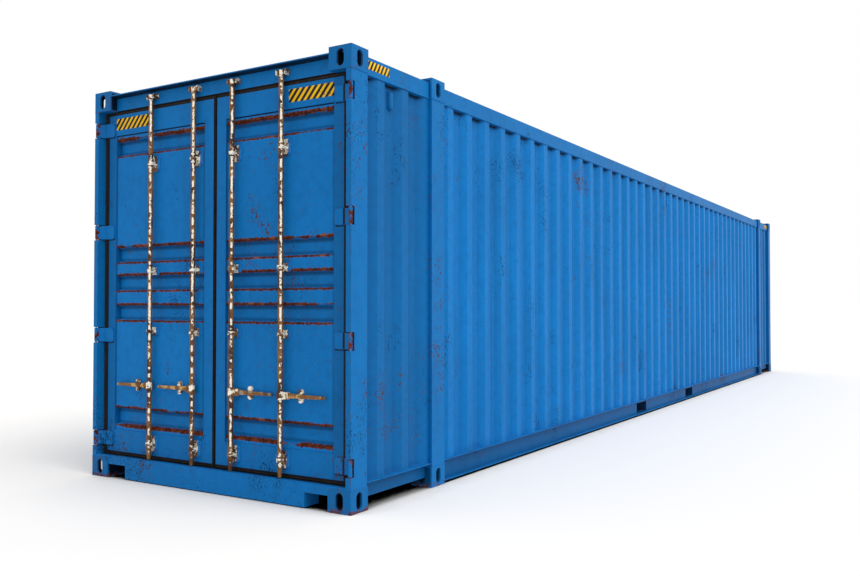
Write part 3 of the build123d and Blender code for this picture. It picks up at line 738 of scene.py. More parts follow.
@dataclass(frozen=True)
class Paint(Finish):
    """Worn blue paint over steel, with chips, streaks and rust, and dark patches of painted shade and rubber marks.

    Density values run from 0, none, to about 0.5, heavy. A band is a middle height and half a width.
    """

    name: str
    base: Colour = written(12, 124, 199)
    shade: Colour = written(10, 92, 154)
    dark_chips: float = 0.285
    rust_chips: float = 0.262
    low_dirt: float = 0.03
    grain: float = 95.0
    streak: float = 0.3
    edge_reach: float = 0.005
    edge_broken: float = 0.54
    foot_rust: float = 0.0
    barrel_rust: bool = False
    recess_from: tuple[float, float] | None = None
    bands: tuple[tuple[float, float], ...] = ()
    grime: tuple[Grime, ...] = ()
    roughness: float = 0.5

    def tone(self, graph: Graph, place: Socket) -> Socket:
        """The paint's own colour, with broad tones, streaks and mottling.

        Args:
            graph: The material's graph.
            place: Object coordinates.

        Returns:
            The colour.
        """
        tone = graph.ramp(graph.noise(place, 0.9, 3.0), 0.35, 0.7, (0.0, 0.22))
        colour = graph.mix(tone, self.base, self.shade)
        colour = graph.mix(graph.times(STREAKS.at(graph, place), self.streak), colour, written(24, 82, 128))
        mottle = graph.ramp(graph.noise(place, 16.0, 4.0, 0.65), 0.42, 0.7, (0.0, 0.3))
        return graph.mix(mottle, colour, self.shade)

    def recessed(self, graph: Graph, place: Socket, colour: Socket) -> Socket:
        """Painted shade: the colour darker in a wall's recesses and its end bays, and a near-black painted shadow under
        the top rail.

        Args:
            graph: The material's graph.
            place: Object coordinates.
            colour: The colour before.

        Returns:
            The new colour.
        """
        x, y, z = graph.parts(place)
        # Painted shade: darker in the recesses and in the end bays by the posts, and a near-black painted shadow under
        # the top rail.
        depth = graph.ramp(graph.size(y), self.recess_from[0], self.recess_from[1])
        colour = graph.mix(graph.times(depth, 0.16), colour, written(14, 74, 126))
        ends = graph.ramp(graph.size(x), SIZES.end - 1.1, SIZES.end - 0.9, (0.0, 0.45))
        colour = graph.mix(ends, colour, written(16, 78, 126))
        under = graph.ramp(z, SIZES.top_rail_low - 0.035, SIZES.top_rail_low - 0.008)
        return graph.mix(graph.times(graph.times(depth, under), 0.92), colour, written(4, 10, 18))

    def rusted(self, graph: Graph, place: Socket) -> Socket:
        """Where rust lies bare: on worn edges, in bands, at feet and on hinge barrels.

        Args:
            graph: The material's graph.
            place: Object coordinates.

        Returns:
            One where it is bare.
        """
        _, y, z = graph.parts(place)
        mask = EDGES.at(graph, place, Reach=self.edge_reach, Broken=self.edge_broken)
        for middle, half in self.bands:
            mask = graph.most(mask, BAND.at(graph, place, Middle=middle, Half=half))
        if self.foot_rust:
            ragged = graph.ramp(graph.noise(place, 20.0, 4.0, 0.65), 0.40, 0.52)
            foot = graph.times(graph.ramp(z, 0.04, 0.004), ragged)
            mask = graph.most(mask, graph.times(foot, self.foot_rust))
        if self.barrel_rust:
            barrel = graph.ramp(graph.size(y), SIZES.side - 0.036, SIZES.side - 0.03)
            bare = graph.ramp(graph.noise(place, 26.0, 4.0, 0.65), 0.47, 0.53)
            mask = graph.most(mask, graph.times(barrel, bare))
        return mask

    def wire(self, graph: Graph, place: Socket) -> dict[str, Socket | float]:
        """Layer tone, chips, painted shade and rubber marks, and rust.

        Args:
            graph: The material's graph.
            place: Object coordinates.

        Returns:
            What each of the shader's inputs takes.
        """
        colour = self.tone(graph, place)
        # Painted shade in the wall's recesses, end bays and under its top rail.
        if self.recess_from:
            colour = self.recessed(graph, place, colour)
        lower = graph.ramp(graph.parts(place)[2], 1.1, 0.15, (0.0, self.low_dirt))
        dark = CHIPS.at(graph, place, Density=graph.plus(lower, self.dark_chips), Grain=self.grain)
        colour = graph.mix(graph.times(dark, 0.75), colour, written(12, 44, 76))
        # Painted shade in gaps, pockets and under edges, and rubber marks.
        for dark_patch in self.grime:
            colour = dark_patch.over(graph, place, colour)
        moved = graph.stretched(place, (1, 1, 1), (3.7, 9.2, 4.4))
        flecks = CHIPS.at(graph, moved, Density=graph.plus(lower, self.rust_chips), Grain=self.grain * 0.85)
        colour = graph.mix(flecks, colour, FLECK)
        bare = self.rusted(graph, place)
        broken = graph.most(graph.most(bare, flecks), graph.times(dark, 0.6))
        peel = graph.times(graph.noise(place, 160.0, 2.0), 0.12)
        fine = graph.bump(graph.minus(peel, broken), 0.35, 0.0012)
        return {
            "Base Color": graph.mix(bare, colour, RUST.at(graph, place)),
            "Roughness": graph.ramp(broken, 0.0, 1.0, (self.roughness, 0.85)),
            "Specular IOR Level": 0.1,
            "Normal": graph.bump(graph.noise(place, 1.7, 1.0), 0.2, 0.02, fine),
        }


@dataclass(frozen=True)
class WornMetal(Finish):
    """Bright coated metal with brown patches that wrap round it.

    A plate with painted_from is door blue where it is farther than that from a bar's line.

    On a bar, axis is the place of its line: only a strip on the side towards the camera stays bright, a painted
    highlight where the distance from the line along that side is near the bar's radius; round the rest the brown is
    painted shade as well as rust.
    """

    name: str
    bright: Colour = written(252, 246, 228)
    brown: Colour = written(78, 46, 26)
    ochre: Colour = written(148, 102, 52)
    grain: float = 15.0
    cover: float = 0.5
    metallic: float = 0.45
    roughness: float = 0.36
    painted_from: float | None = None
    axis: tuple[float, float] | None = None
    weather_side: tuple[float, float] = (-0.719, -0.695)

    def off_strip(self, graph: Graph, place: Socket) -> Socket:
        """How far a point lies outside the painted highlight strip of a bar.

        Args:
            graph: The material's graph.
            place: Object coordinates.

        Returns:
            Zero on the strip, one round the rest of the bar.
        """
        middle = (-self.axis[0], -self.axis[1], 0.0)
        out = graph.dot(graph.stretched(place, (1, 1, 0), middle), (*self.weather_side, 0.0))
        ragged = graph.times(graph.minus(graph.noise(place, 55.0, 3.0), 0.5), 0.35)
        return graph.ramp(graph.plus(graph.math("DIVIDE", out, SIZES.bar_radius), ragged), 0.95, 0.87)

    def painted(self, graph: Graph, place: Socket) -> Socket:
        """Where a guide plate is painted over, away from both bars' lines.

        Args:
            graph: The material's graph.
            place: Object coordinates.

        Returns:
            One where it is painted.
        """
        beside = graph.size(graph.parts(place)[1])
        inner, outer = (graph.size(graph.minus(beside, bar)) for bar in (SIZES.inner_bar, SIZES.outer_bar))
        return graph.ramp(graph.math("MINIMUM", inner, outer), self.painted_from, self.painted_from + 0.002)

    def wire(self, graph: Graph, place: Socket) -> dict[str, Socket | float]:
        """Mix bright metal and brown patches by noise.

        Args:
            graph: The material's graph.
            place: Object coordinates.

        Returns:
            What each of the shader's inputs takes.
        """
        patches = graph.noise(graph.stretched(place, (0.9, 0.9, 1.0)), self.grain, 4.0, 0.6)
        if self.axis:
            low = graph.ramp(graph.parts(place)[2], 1.7, 0.4, (0.0, 0.045))
            long = graph.times(graph.minus(graph.noise(place, 2.6, 1.0), 0.5), 0.16)
            patches = graph.plus(graph.plus(patches, low), long)
        mask = graph.ramp(patches, self.cover - 0.015, self.cover + 0.015)
        # On a bar, all but the strip is brown: a painted highlight on the strip, painted shade and rust round the rest.
        if self.axis:
            mask = graph.most(mask, self.off_strip(graph, place))
        mask = graph.most(mask, EDGES.at(graph, place, Reach=0.004, Broken=0.45))
        brown = graph.mix(graph.ramp(graph.noise(place, 9.0, 2.0), 0.42, 0.6), self.brown, self.ochre)
        fine = graph.ramp(graph.noise(place, 90.0, 3.0), 0.4, 0.65, (0.0, 0.4))
        brown = graph.mix(fine, brown, written(46, 26, 18))
        dulled = graph.ramp(graph.noise(place, 60.0, 3.0), 0.5, 0.7, (0.0, 0.3))
        colour = graph.mix(mask, graph.mix(dulled, self.bright, written(190, 168, 136)), brown)
        if self.painted_from:
            painted = self.painted(graph, place)
            colour = graph.mix(painted, colour, DOOR_BASE)
            mask = graph.most(mask, painted)
        return {
            "Base Color": colour,
            "Metallic": graph.ramp(mask, 0.0, 1.0, (self.metallic, 0.05)),
            "Roughness": graph.ramp(mask, 0.0, 1.0, (self.roughness, 0.82)),
            "Normal": graph.bump(graph.plus(mask, graph.times(fine, 0.5)), 0.5, 0.0015),
        }


@dataclass(frozen=True)
class Seal(Finish):
    """Weathered door rubber, dusty on its ridges."""

    name: str = "seal rubber"
    base: Colour = written(30, 26, 24)
    dust: Colour = written(64, 52, 42)

    def wire(self, graph: Graph, place: Socket) -> dict[str, Socket | float]:
        """Dust the rubber by noise and along its edges.

        Args:
            graph: The material's graph.
            place: Object coordinates.

        Returns:
            What each of the shader's inputs takes.
        """
        worn = EDGES.at(graph, place, Reach=0.004, Broken=0.4)
        dust = graph.ramp(graph.noise(graph.stretched(place, (1, 1, 0.4)), 22.0, 4.0), 0.45, 0.75, (0.0, 0.5))
        share = graph.most(dust, graph.times(worn, 0.6))
        return {
            "Base Color": graph.mix(share, self.base, self.dust),
            "Roughness": graph.ramp(share, 0.0, 1.0, (0.6, 0.85)),
            "Specular IOR Level": 0.15,
            "Normal": graph.bump(graph.noise(place, 120.0, 3.0), 0.3, 0.001),
        }


@dataclass(frozen=True)
class Boards(Finish):
    """Plywood floor: long boards with joints along and across, scuffed by use."""

    name: str = "floor plywood"
    base: Colour = written(150, 112, 74)
    dark: Colour = written(92, 62, 38)
    board_width: float = 0.29
    board_length: float = 2.4

    def wire(self, graph: Graph, place: Socket) -> dict[str, Socket | float]:
        """Draw grain along the length, joints by a distance to the nearest board edge, and scuffs.

        Args:
            graph: The material's graph.
            place: Object coordinates.

        Returns:
            What each of the shader's inputs takes.
        """
        x, y, _ = graph.parts(place)
        grain = graph.noise(graph.stretched(place, (0.05, 1, 1)), 42.0, 5.0, 0.65)
        colour = graph.mix(graph.ramp(grain, 0.35, 0.65), self.base, self.dark)
        scuff = graph.ramp(graph.noise(graph.stretched(place, (0.3, 1, 1), (2, 5, 0)), 7.0, 4.0), 0.5, 0.7, (0.0, 0.6))
        colour = graph.mix(scuff, colour, written(70, 58, 48))
        joint: Socket | float = 0.0
        for value, pitch in ((y, self.board_width), (x, self.board_length)):
            cell = graph.math("PINGPONG", value, pitch / 2)
            joint = graph.most(joint, graph.ramp(cell, 0.0045, 0.002))
        return {
            "Base Color": graph.mix(joint, colour, written(28, 22, 18)),
            "Roughness": graph.ramp(scuff, 0.0, 0.6, (0.55, 0.8)),
            "Normal": graph.bump(graph.minus(graph.times(grain, 0.3), joint), 0.4, 0.002),
        }


@dataclass(frozen=True)
class Stripes(Finish):
    """Yellow and black slanted warning stripes, faded and scratched.

    The stripe number is the place along the plate, leaned by the height and divided by the pitch.
    """

    name: str
    axis: int = 1
    lean: float = 0.85
    pitch: float = 0.051
    yellow: Colour = written(255, 200, 6)
    black: Colour = written(16, 15, 22)

    def wire(self, graph: Graph, place: Socket) -> dict[str, Socket | float]:
        """Draw the stripes and wear them.

        Args:
            graph: The material's graph.
            place: Object coordinates.

        Returns:
            What each of the shader's inputs takes.
        """
        parts = graph.parts(place)
        slant = graph.math("MULTIPLY_ADD", parts[2], self.lean, parts[self.axis])
        turn = graph.math("FRACT", graph.math("DIVIDE", slant, self.pitch))
        black = graph.minus(graph.ramp(turn, 0.0, 0.05), graph.ramp(turn, 0.53, 0.58))
        tired = graph.ramp(graph.noise(place, 9.0, 3.0), 0.4, 0.7, (0.0, 0.35))
        colour = graph.mix(black, graph.mix(tired, self.yellow, written(232, 166, 20)), self.black)
        scratched = CHIPS.at(graph, place, Density=0.33, Grain=90.0)
        return {
            "Base Color": graph.mix(scratched, colour, written(86, 84, 92)),
            "Specular IOR Level": 0.2,
            "Roughness": graph.ramp(scratched, 0.0, 1.0, (0.4, 0.8)),
            "Normal": graph.bump(graph.minus(1.0, scratched), 0.3, 0.0005),
        }


def rib_bands() -> tuple[tuple[float, float], ...]:
    """Rust along each rib's lower and upper edge: middle height and half width."""
    halves = [(0.013, 0.010), (0.007, 0.009), (0.007, 0.009), (0.007, 0.010), (0.007, 0.012)]
    return tuple((z, half) for edges, pair in zip(SIZES.ribs, halves) for z, half in zip(edges, pair))


def panel_grime() -> tuple[Grime, ...]:
    """Painted shade: dark lines round a door panel, under its top rail and beside its stiles, and soft shade in its
    ribs.
    """
    s = SIZES
    inner, outer = s.seam_half + s.stile, s.leaf_end - s.stile
    lines = [
        Grime(s.panel_high - 0.008, s.panel_high + 0.01, 0.95, 0.002),
        Grime(0.0, 3.0, 0.42, 0.02, inner - 0.01, inner + 0.008),
        Grime(0.0, 3.0, 0.35, 0.012, outer - 0.008, outer + 0.01),
    ]
    for low, high in s.ribs:
        lines.append(Grime(high - 0.030, high - 0.016, 0.5, 0.012))
        lines.append(Grime(low + 0.018, low + 0.028, 0.3, 0.012))
    return tuple(lines)


def rubber_mark(low: float, high: float, inner: float, outer: float = 2.0, strength: float = 0.95) -> Grime:
    """A dark line along a door's gap: partly a mark that door rubber has left, partly painted shade in the gap."""
    return Grime(low, high, strength, 0.002, inner, outer, tint=RUBBER_AND_GAP_SHADE)


def stile_grime() -> tuple[Grime, ...]:
    """Painted shadow lines on a leaf under each hinge blade, dark lines round its edges that are partly rubber marks
    and partly painted shade in the gaps, and painted shade on the hinge stile.
    """
    s = SIZES
    lines = [Grime(z - 0.060, z - 0.051, 0.85, 0.003, s.side - 0.166, s.side) for z in s.blades]
    lines.append(Grime(0.0, 3.0, 0.2, 0.01, s.leaf_end - s.stile, s.side))
    lines.append(rubber_mark(0.0, s.leaf_low + 0.004, 0.0))
    lines.append(rubber_mark(s.leaf_high - 0.004, 3.0, 0.0))
    lines.append(rubber_mark(0.0, 3.0, s.leaf_end - 0.011))
    lines.append(rubber_mark(0.0, 3.0, 0.0, s.seam_half + 0.004))
    return tuple(lines)


def frame_grime() -> tuple[Grime, ...]:
    """Painted shade under the rain lip, and dark lines on the header's foot and the sill's top edge, partly rubber
    marks and partly painted shade in the gaps.
    """
    s = SIZES
    lip = Grime(s.top_rail_high - 0.016, s.top_rail_high - 0.009, 0.9, 0.003)
    sill = replace(rubber_mark(0.1585, 0.18, 0.0, strength=0.9), far=s.end - 0.04)
    return lip, rubber_mark(s.top_rail_low - 0.01, s.top_rail_low + 0.003, 0.0), sill


def pocket_grime(strength: float, far: float) -> tuple[Grime, ...]:
    """Painted shade inside the castings, behind their slots, at the feet and at the heads."""
    s = SIZES
    heights = ((0.016, s.casting_height - 0.012), (s.height - s.casting_height + 0.012, s.height - 0.016))
    return tuple(Grime(low, high, strength, 0.006, 0.0, s.side - 0.016, far) for low, high in heights)


CREST_TO_RECESS = (SIZES.side - SIZES.crest - 0.004, SIZES.side - SIZES.recess + 0.004)
WALL_PAINT = Paint("wall paint", recess_from=CREST_TO_RECESS)
FRAME_PAINT = Paint("frame paint", base=written(11, 115, 184))
RAIL_SHADE = Grime(0.0, 0.165, 0.3, 0.004, 0.0, SIZES.side - 0.03)
RAIL_PAINT = replace(FRAME_PAINT, name="bottom rail paint", grime=(RAIL_SHADE,))
POST_PAINT = replace(
    FRAME_PAINT,
    name="rear post paint",
    dark_chips=0.30,
    rust_chips=0.28,
    edge_broken=0.49,
    edge_reach=0.007,
    # A dark line on the post along the jamb gap: painted shade there.
    grime=(rubber_mark(0.0, 3.0, 0.0, SIZES.leaf_end + 0.009),),
)
MIDWAY_PAINT = replace(
    FRAME_PAINT,
    name="midway casting paint",
    rust_chips=0.29,
    edge_broken=0.48,
    foot_rust=0.95,
    grime=pocket_grime(0.6, 10.0),
)
FOOT_PAINT = replace(
    MIDWAY_PAINT,
    name="casting paint",
    # A darker base than the midway castings': painted shade on the corner castings.
    base=written(11, 108, 173),
    dark_chips=0.30,
    grime=pocket_grime(0.95, SIZES.end - 0.016),
)
DOOR_PAINT = Paint("door frame paint", base=written(11, 120, 193), grime=frame_grime())
BLADE_PAINT = Paint("hinge blade paint", base=DOOR_BASE, barrel_rust=True)
# Painted shade of the jamb gap, laid across the right door's hinge blades.
JAMB_GAP_SHADE = rubber_mark(0.0, 3.0, SIZES.leaf_end - 0.011, SIZES.leaf_end + 0.004)
RIGHT_BLADE_PAINT = replace(BLADE_PAINT, name="right hinge blade paint", grime=(JAMB_GAP_SHADE,))
LEAF_PAINT = Paint("door leaf paint", base=DOOR_BASE, edge_broken=0.58, grime=stile_grime())
PANEL_PAINT = Paint(
    "door panel paint", base=written(10, 122, 197), bands=rib_bands(), edge_broken=0.62, grime=panel_grime()
)
UNDER_PAINT = Paint(
    "underside paint", base=written(14, 70, 116), shade=written(10, 44, 76), rust_chips=0.36, streak=0.6
)
ROOF_PAINT = Paint("roof paint", base=written(28, 134, 208), rust_chips=0.31, streak=0.1)
BRACKET_METAL = WornMetal("bracket metal", grain=30.0, cover=0.49, metallic=0.3, roughness=0.5)
GUIDE_METAL = replace(BRACKET_METAL, name="guide metal", painted_from=0.036)
OCHRE_METAL = WornMetal(
    "ochre handle metal", bright=written(196, 150, 84), brown=written(112, 72, 34), grain=20.0, cover=0.45, metallic=0.3
)
GREY_METAL = replace(
    OCHRE_METAL, name="grey handle metal", bright=written(150, 132, 114), brown=written(92, 66, 48)
)
PIN_METAL = WornMetal(
    "pin metal",
    bright=written(120, 152, 196),
    brown=written(104, 44, 24),
    ochre=written(84, 36, 22),
    grain=26.0,
    metallic=0.2,
)
RUBBER = Seal()
FLOOR = Boards()

ACROSS, AHEAD, UP = (0, 1, 0), (1, 0, 0), (0, 0, 1)
TO_DOORS, TO_RIGHT = (-1, 0, 0), (0, -1, 0)
STRIPE_LEVELS = ((0.0, -0.0002), (0.0, 0.0005), (0.0004, 0.0008))
FRAME: dict = {}


def bar_metal(side: Side, offset: float) -> WornMetal:
    """The finish of the bar at this distance from the seam, with a painted highlight strip on the side towards the
    camera.
    """
    axis = (-SIZES.end + SIZES.bar_axis, side.value * offset)
    return WornMetal(f"{side.word} bar metal {round(offset * 1000)}", grain=26.0, cover=0.525, axis=axis)


def dress(finish: Finish, *nodes: str) -> None:
    """Give carried-over solids their finish.

    Args:
        finish: The finish.
        *nodes: The names of the nodes that take it.
    """
    made = finish.material()
    for node in nodes:
        piece = FRAME["nodes"][node]
        if not piece.material_slots:
            piece.data.materials.append(made)
        for place in piece.material_slots:
            place.material = made


def make_piece(
    name: str, surface: Surface, finish: Finish, body: str = "root"
) -> bpy.types.Object:
    """Make a mesh of a surface, finish it, and let it ride on a body.

    Args:
        name: The piece's name.
        surface: Its points and faces, in the part's frame.
        finish: Its finish.
        body: The body that it moves with.

    Returns:
        The new object.
    """
    mesh = bpy.data.meshes.new(name)
    mesh.from_pydata(surface.points.tolist(), [], surface.quads.tolist() + surface.triangles.tolist())
    mesh.polygons.foreach_set("use_smooth", np.ones(len(mesh.polygons), bool))
    mesh.set_sharp_from_angle(angle=math.radians(40))
    mesh.materials.append(finish.material())
    mesh.update()
    piece = bpy.data.objects.new(name, mesh)
    bpy.context.scene.collection.objects.link(piece)
    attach(piece, body)
    LOG.info("%s: %d points on %s", name, len(surface.points), body)
    return piece


def mirrored(surface: Surface) -> Surface:
    """The same surface on the other side of the box, faces still outwards."""
    return Surface(surface.points * [1, -1, 1], surface.quads[:, ::-1], surface.triangles[:, ::-1])


def for_side(surfaces: Sequence[Surface], side: Side) -> Surface:
    """Surfaces worked out for the right side, mirrored if the side is the left one."""
    whole = Surface.joined(surfaces)
    return whole if side is Side.RIGHT else mirrored(whole)


def on_both_sides(surfaces: Sequence[Surface]) -> Surface:
    """Surfaces worked out for the right side, and the same on the left."""
    return Surface.joined([for_side(surfaces, side) for side in Side])


@dataclass
class SteelFrame:
    """Castings, posts and rails, with the beads that join them."""

    bead_radius: float = 0.004
    bead_out: float = 0.001
    bead_span: tuple[float, float] = (0.004, 0.172)
    midway_span: tuple[float, float] = (0.004, 0.174)

    def dress(self) -> None:
        """Paint the frame's solids."""
        dress(FOOT_PAINT, "corner_castings")
        dress(MIDWAY_PAINT, "midway_castings")
        dress(POST_PAINT, "right_rear_post", "left_rear_post")
        dress(RAIL_PAINT, "right_bottom_rail", "left_bottom_rail")
        dress(FRAME_PAINT, "front_corner_posts", "midway_posts", "front_top_rail", "front_sill")
        dress(FRAME_PAINT, "right_top_rail", "left_top_rail")

    def build(self) -> None:
        """Lay the beads where posts meet castings, at their feet and heads on both sides."""
        s = SIZES
        face = -s.side + self.bead_out
        spans = (self.bead_span, tuple(s.midway + x for x in self.midway_span))
        beads = []
        for sign in (-1, 1):
            for x0, x1 in spans:
                for z in (s.casting_height, s.height - s.casting_height):
                    ends = np.array([[sign * (s.end - x0), face, z], [sign * (s.end - x1), face, z]])
                    beads.append(bead(ends, TO_RIGHT, self.bead_radius, 0.008))
        make_piece("post_weld_beads", on_both_sides(beads), FRAME_PAINT)


@dataclass
class SideWall:
    """One corrugated wall with its beads along the rails and its sheet joints."""

    side: Side
    pitches: int = 40
    crest_flat: float = 0.075
    slope: float = 0.068
    end_crests: tuple[float, ...] = (0.361, 0.6475, 0.934)
    end_bay: tuple[float, float] = (0.172, 0.947)
    joints_every: int = 3
    bead_radii: tuple[float, float] = (0.0045, 0.003)
    joint_radius: float = 0.0022

    def path(self) -> np.ndarray:
        """The crest and recess line of the long bay on the right side, as x and y.

        Returns:
            One row for each turn of the sheet.
        """
        s = SIZES
        half = s.end - s.midway - s.casting_length + 0.002
        pitch = 2 * half / self.pitches
        flat = pitch - self.crest_flat - 2 * self.slope
        start = -half + np.arange(self.pitches) * pitch + flat / 2
        steps = np.array([0, self.slope, self.slope + self.crest_flat, 2 * self.slope + self.crest_flat])
        x = (start[:, None] + steps[None]).reshape(-1)
        deep, high = -s.side + s.recess, -s.side + s.crest
        y = np.tile([deep, high, high, deep], self.pitches)
        return np.concatenate([[[-half, deep]], np.stack([x, y], -1), [[half, deep]]])

    def end_path(self) -> np.ndarray:
        """The line of the short bay behind the doors on the right side, as x and y.

        Each crest has four turns: half its flat and one slope to either side of its middle. The bay
        ends on the last crest.

        Returns:
            One row for each turn of the sheet.
        """
        s = SIZES
        reach = self.crest_flat / 2
        steps = np.array([-reach - self.slope, -reach, reach, reach + self.slope])
        x = (np.array(self.end_crests)[:, None] + steps[None]).reshape(-1)
        deep = np.tile([s.recess, s.crest, s.crest, s.recess], len(self.end_crests))
        kept = x < self.end_bay[1]
        x = np.concatenate([[self.end_bay[0]], x[kept], [self.end_bay[1]]])
        deep = np.concatenate([[s.recess], deep[kept], [s.crest]])
        return np.stack([-s.end + x, -s.side + deep], -1)

    def dress(self) -> None:
        """Paint the wall."""
        dress(WALL_PAINT, f"{self.side.word}_side_wall")

    def build(self) -> None:
        """Lay the beads along the ledge and under the rail, and the upright sheet joints."""
        s = SIZES
        long = self.path()
        beads = []
        for row in (long, self.end_path(), self.end_path()[::-1] * [-1, 1]):
            for z, radius in zip((s.ledge + 0.002, s.top_rail_low - 0.002), self.bead_radii):
                line = np.column_stack([row + [0, -0.001], np.full(len(row), z)])
                beads.append(bead(line, UP, radius, 0.014))
        make_piece(f"{self.side.word}_wall_weld_beads", for_side(beads, self.side), WALL_PAINT)
        start, deep = long[0]
        pitch = (long[-1, 0] - start) / self.pitches
        seams = []
        for k in range(self.joints_every, self.pitches, self.joints_every):
            x = start + k * pitch
            line = np.array([[x, deep, s.ledge + 0.004], [x, deep, s.top_rail_low - 0.004]])
            seams.append(bead(line, TO_RIGHT, self.joint_radius, 0.02))
        make_piece(f"{self.side.word}_wall_sheet_joints", for_side(seams, self.side), WALL_PAINT)


@dataclass
class Ventilators:
    """Pressed hoods over the vent holes, three in each side wall."""

    half_width: float = 0.027
    half_height: float = 0.0655
    corner: float = 0.024
    depth: float = 0.0275
    middle: float = 2.6425
    rim: float = 0.004
    inset: float = 0.013

    def build(self) -> None:
        """Press a hood with a rim at each place, in place of the plain blocks."""
        s = SIZES
        levels = [(0.0, 0.0), (0.0, 0.003), (self.rim, self.rim)]
        for r in np.linspace(0, 1, 7)[1:]:
            drawn_in = self.inset * (1 - math.sqrt(1 - r**2))
            levels.append((self.rim + drawn_in, self.rim + (self.depth - self.rim) * r))
        hood = rounded_stack(self.half_width, self.half_height, self.corner, levels, 7)
        xs = [-s.end + s.vent_from_end, 0.0, s.end - s.vent_from_end]
        centres = np.array([[x, -s.side + s.recess, self.middle] for x in xs])
        right = hood.copies(centres, AHEAD, UP, TO_RIGHT)
        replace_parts(make_piece("vent_hoods", on_both_sides([right]), WALL_PAINT), "ventilators")


@dataclass
class EndAndRoof:
    """The front wall, the roof sheets and their beads."""

    roof_edge: float = 0.0615
    wall_face: float = 0.024

    def dress(self) -> None:
        """Paint the front wall and the roof."""
        dress(FRAME_PAINT, "front_wall")
        dress(ROOF_PAINT, "roof_panel")

    def build(self) -> None:
        """Lay the beads along both edges of the roof and at the foot of the front wall."""
        s = SIZES
        y, z = -s.side + self.roof_edge, s.top_rail_high + 0.002
        spans = ((-s.end + s.casting_length + 0.01, -s.end + s.midway - 0.01), (-s.end + s.midway + 0.2, 0.0))
        lines = [np.array([[sign * x0, y, z], [sign * x1, y, z]]) for x0, x1 in spans for sign in (-1, 1)]
        beads = [bead(line, UP, 0.003, 0.02) for line in lines]
        make_piece("roof_weld_beads", on_both_sides(beads), ROOF_PAINT)
        x, z, half = s.end - self.wall_face, s.ledge + 0.002, s.side - s.casting_width
        foot = np.array([[x, -half, z], [x, half, z]])
        make_piece("front_wall_weld_bead", bead(foot, AHEAD, 0.004, 0.012), FRAME_PAINT)


@dataclass
class Underside:
    """Floor boards with their screws, cross members and fork pockets."""

    screw_pitch: float = 0.145
    member_pitch: float = 0.305
    margin: float = 0.12

    def dress(self) -> None:
        """Finish the boards and the steel below them."""
        dress(FLOOR, "floor_boards")
        dress(UNDER_PAINT, "cross_members", "fork_pockets")

    def build(self) -> None:
        """Set the rows of countersunk screw heads over the cross members."""
        low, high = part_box("floor_boards")
        head = lathe([(0.0065, -0.0005), (0.0065, 0.0006), (0.004, 0.0011), (0.002, 0.0004)], 8)
        xs = np.arange(low.x + self.margin, high.x - 0.2, self.member_pitch)
        ys = np.arange(low.y + self.margin, high.y - 0.1, self.screw_pitch)
        grid = np.stack(np.meshgrid(xs, ys, indexing="ij"), -1).reshape(-1, 2)
        centres = np.column_stack([grid, np.full(len(grid), high.z)])
        make_piece("floor_screws", head.copies(centres, AHEAD, ACROSS, UP), PIN_METAL)


@dataclass
class DoorFrame:
    """Header, sill, keepers and hinge pins."""

    header_face: float = 0.061
    keeper_half: float = 0.0435
    keeper_heights: tuple[float, float] = (2.789, 2.824)

    def dress(self) -> None:
        """Finish the frame round the doors."""
        dress(DOOR_PAINT, "door_header", "door_sill")
        dress(BRACKET_METAL, "header_keepers")
        dress(PIN_METAL, "hinge_pins")

    def build(self) -> None:
        """Lay the bead under the rain lip and weld the keepers to the header."""
        s = SIZES
        x, z, half = -s.end + self.header_face, s.top_rail_high - 0.011, s.side - s.casting_width
        line = np.array([[x, -half, z], [x, half, z]])
        make_piece("rain_lip_weld_bead", bead(line, TO_DOORS, 0.003, 0.01), DOOR_PAINT)
        beads = []
        for bar in (-s.outer_bar, -s.inner_bar, s.inner_bar, s.outer_bar):
            for y in (bar - self.keeper_half, bar + self.keeper_half):
                upright = np.array([[x, y, z] for z in self.keeper_heights])
                beads.append(bead(upright, TO_DOORS, 0.003, 0.006))
        make_piece("keeper_weld_beads", Surface.joined(beads), BRACKET_METAL)


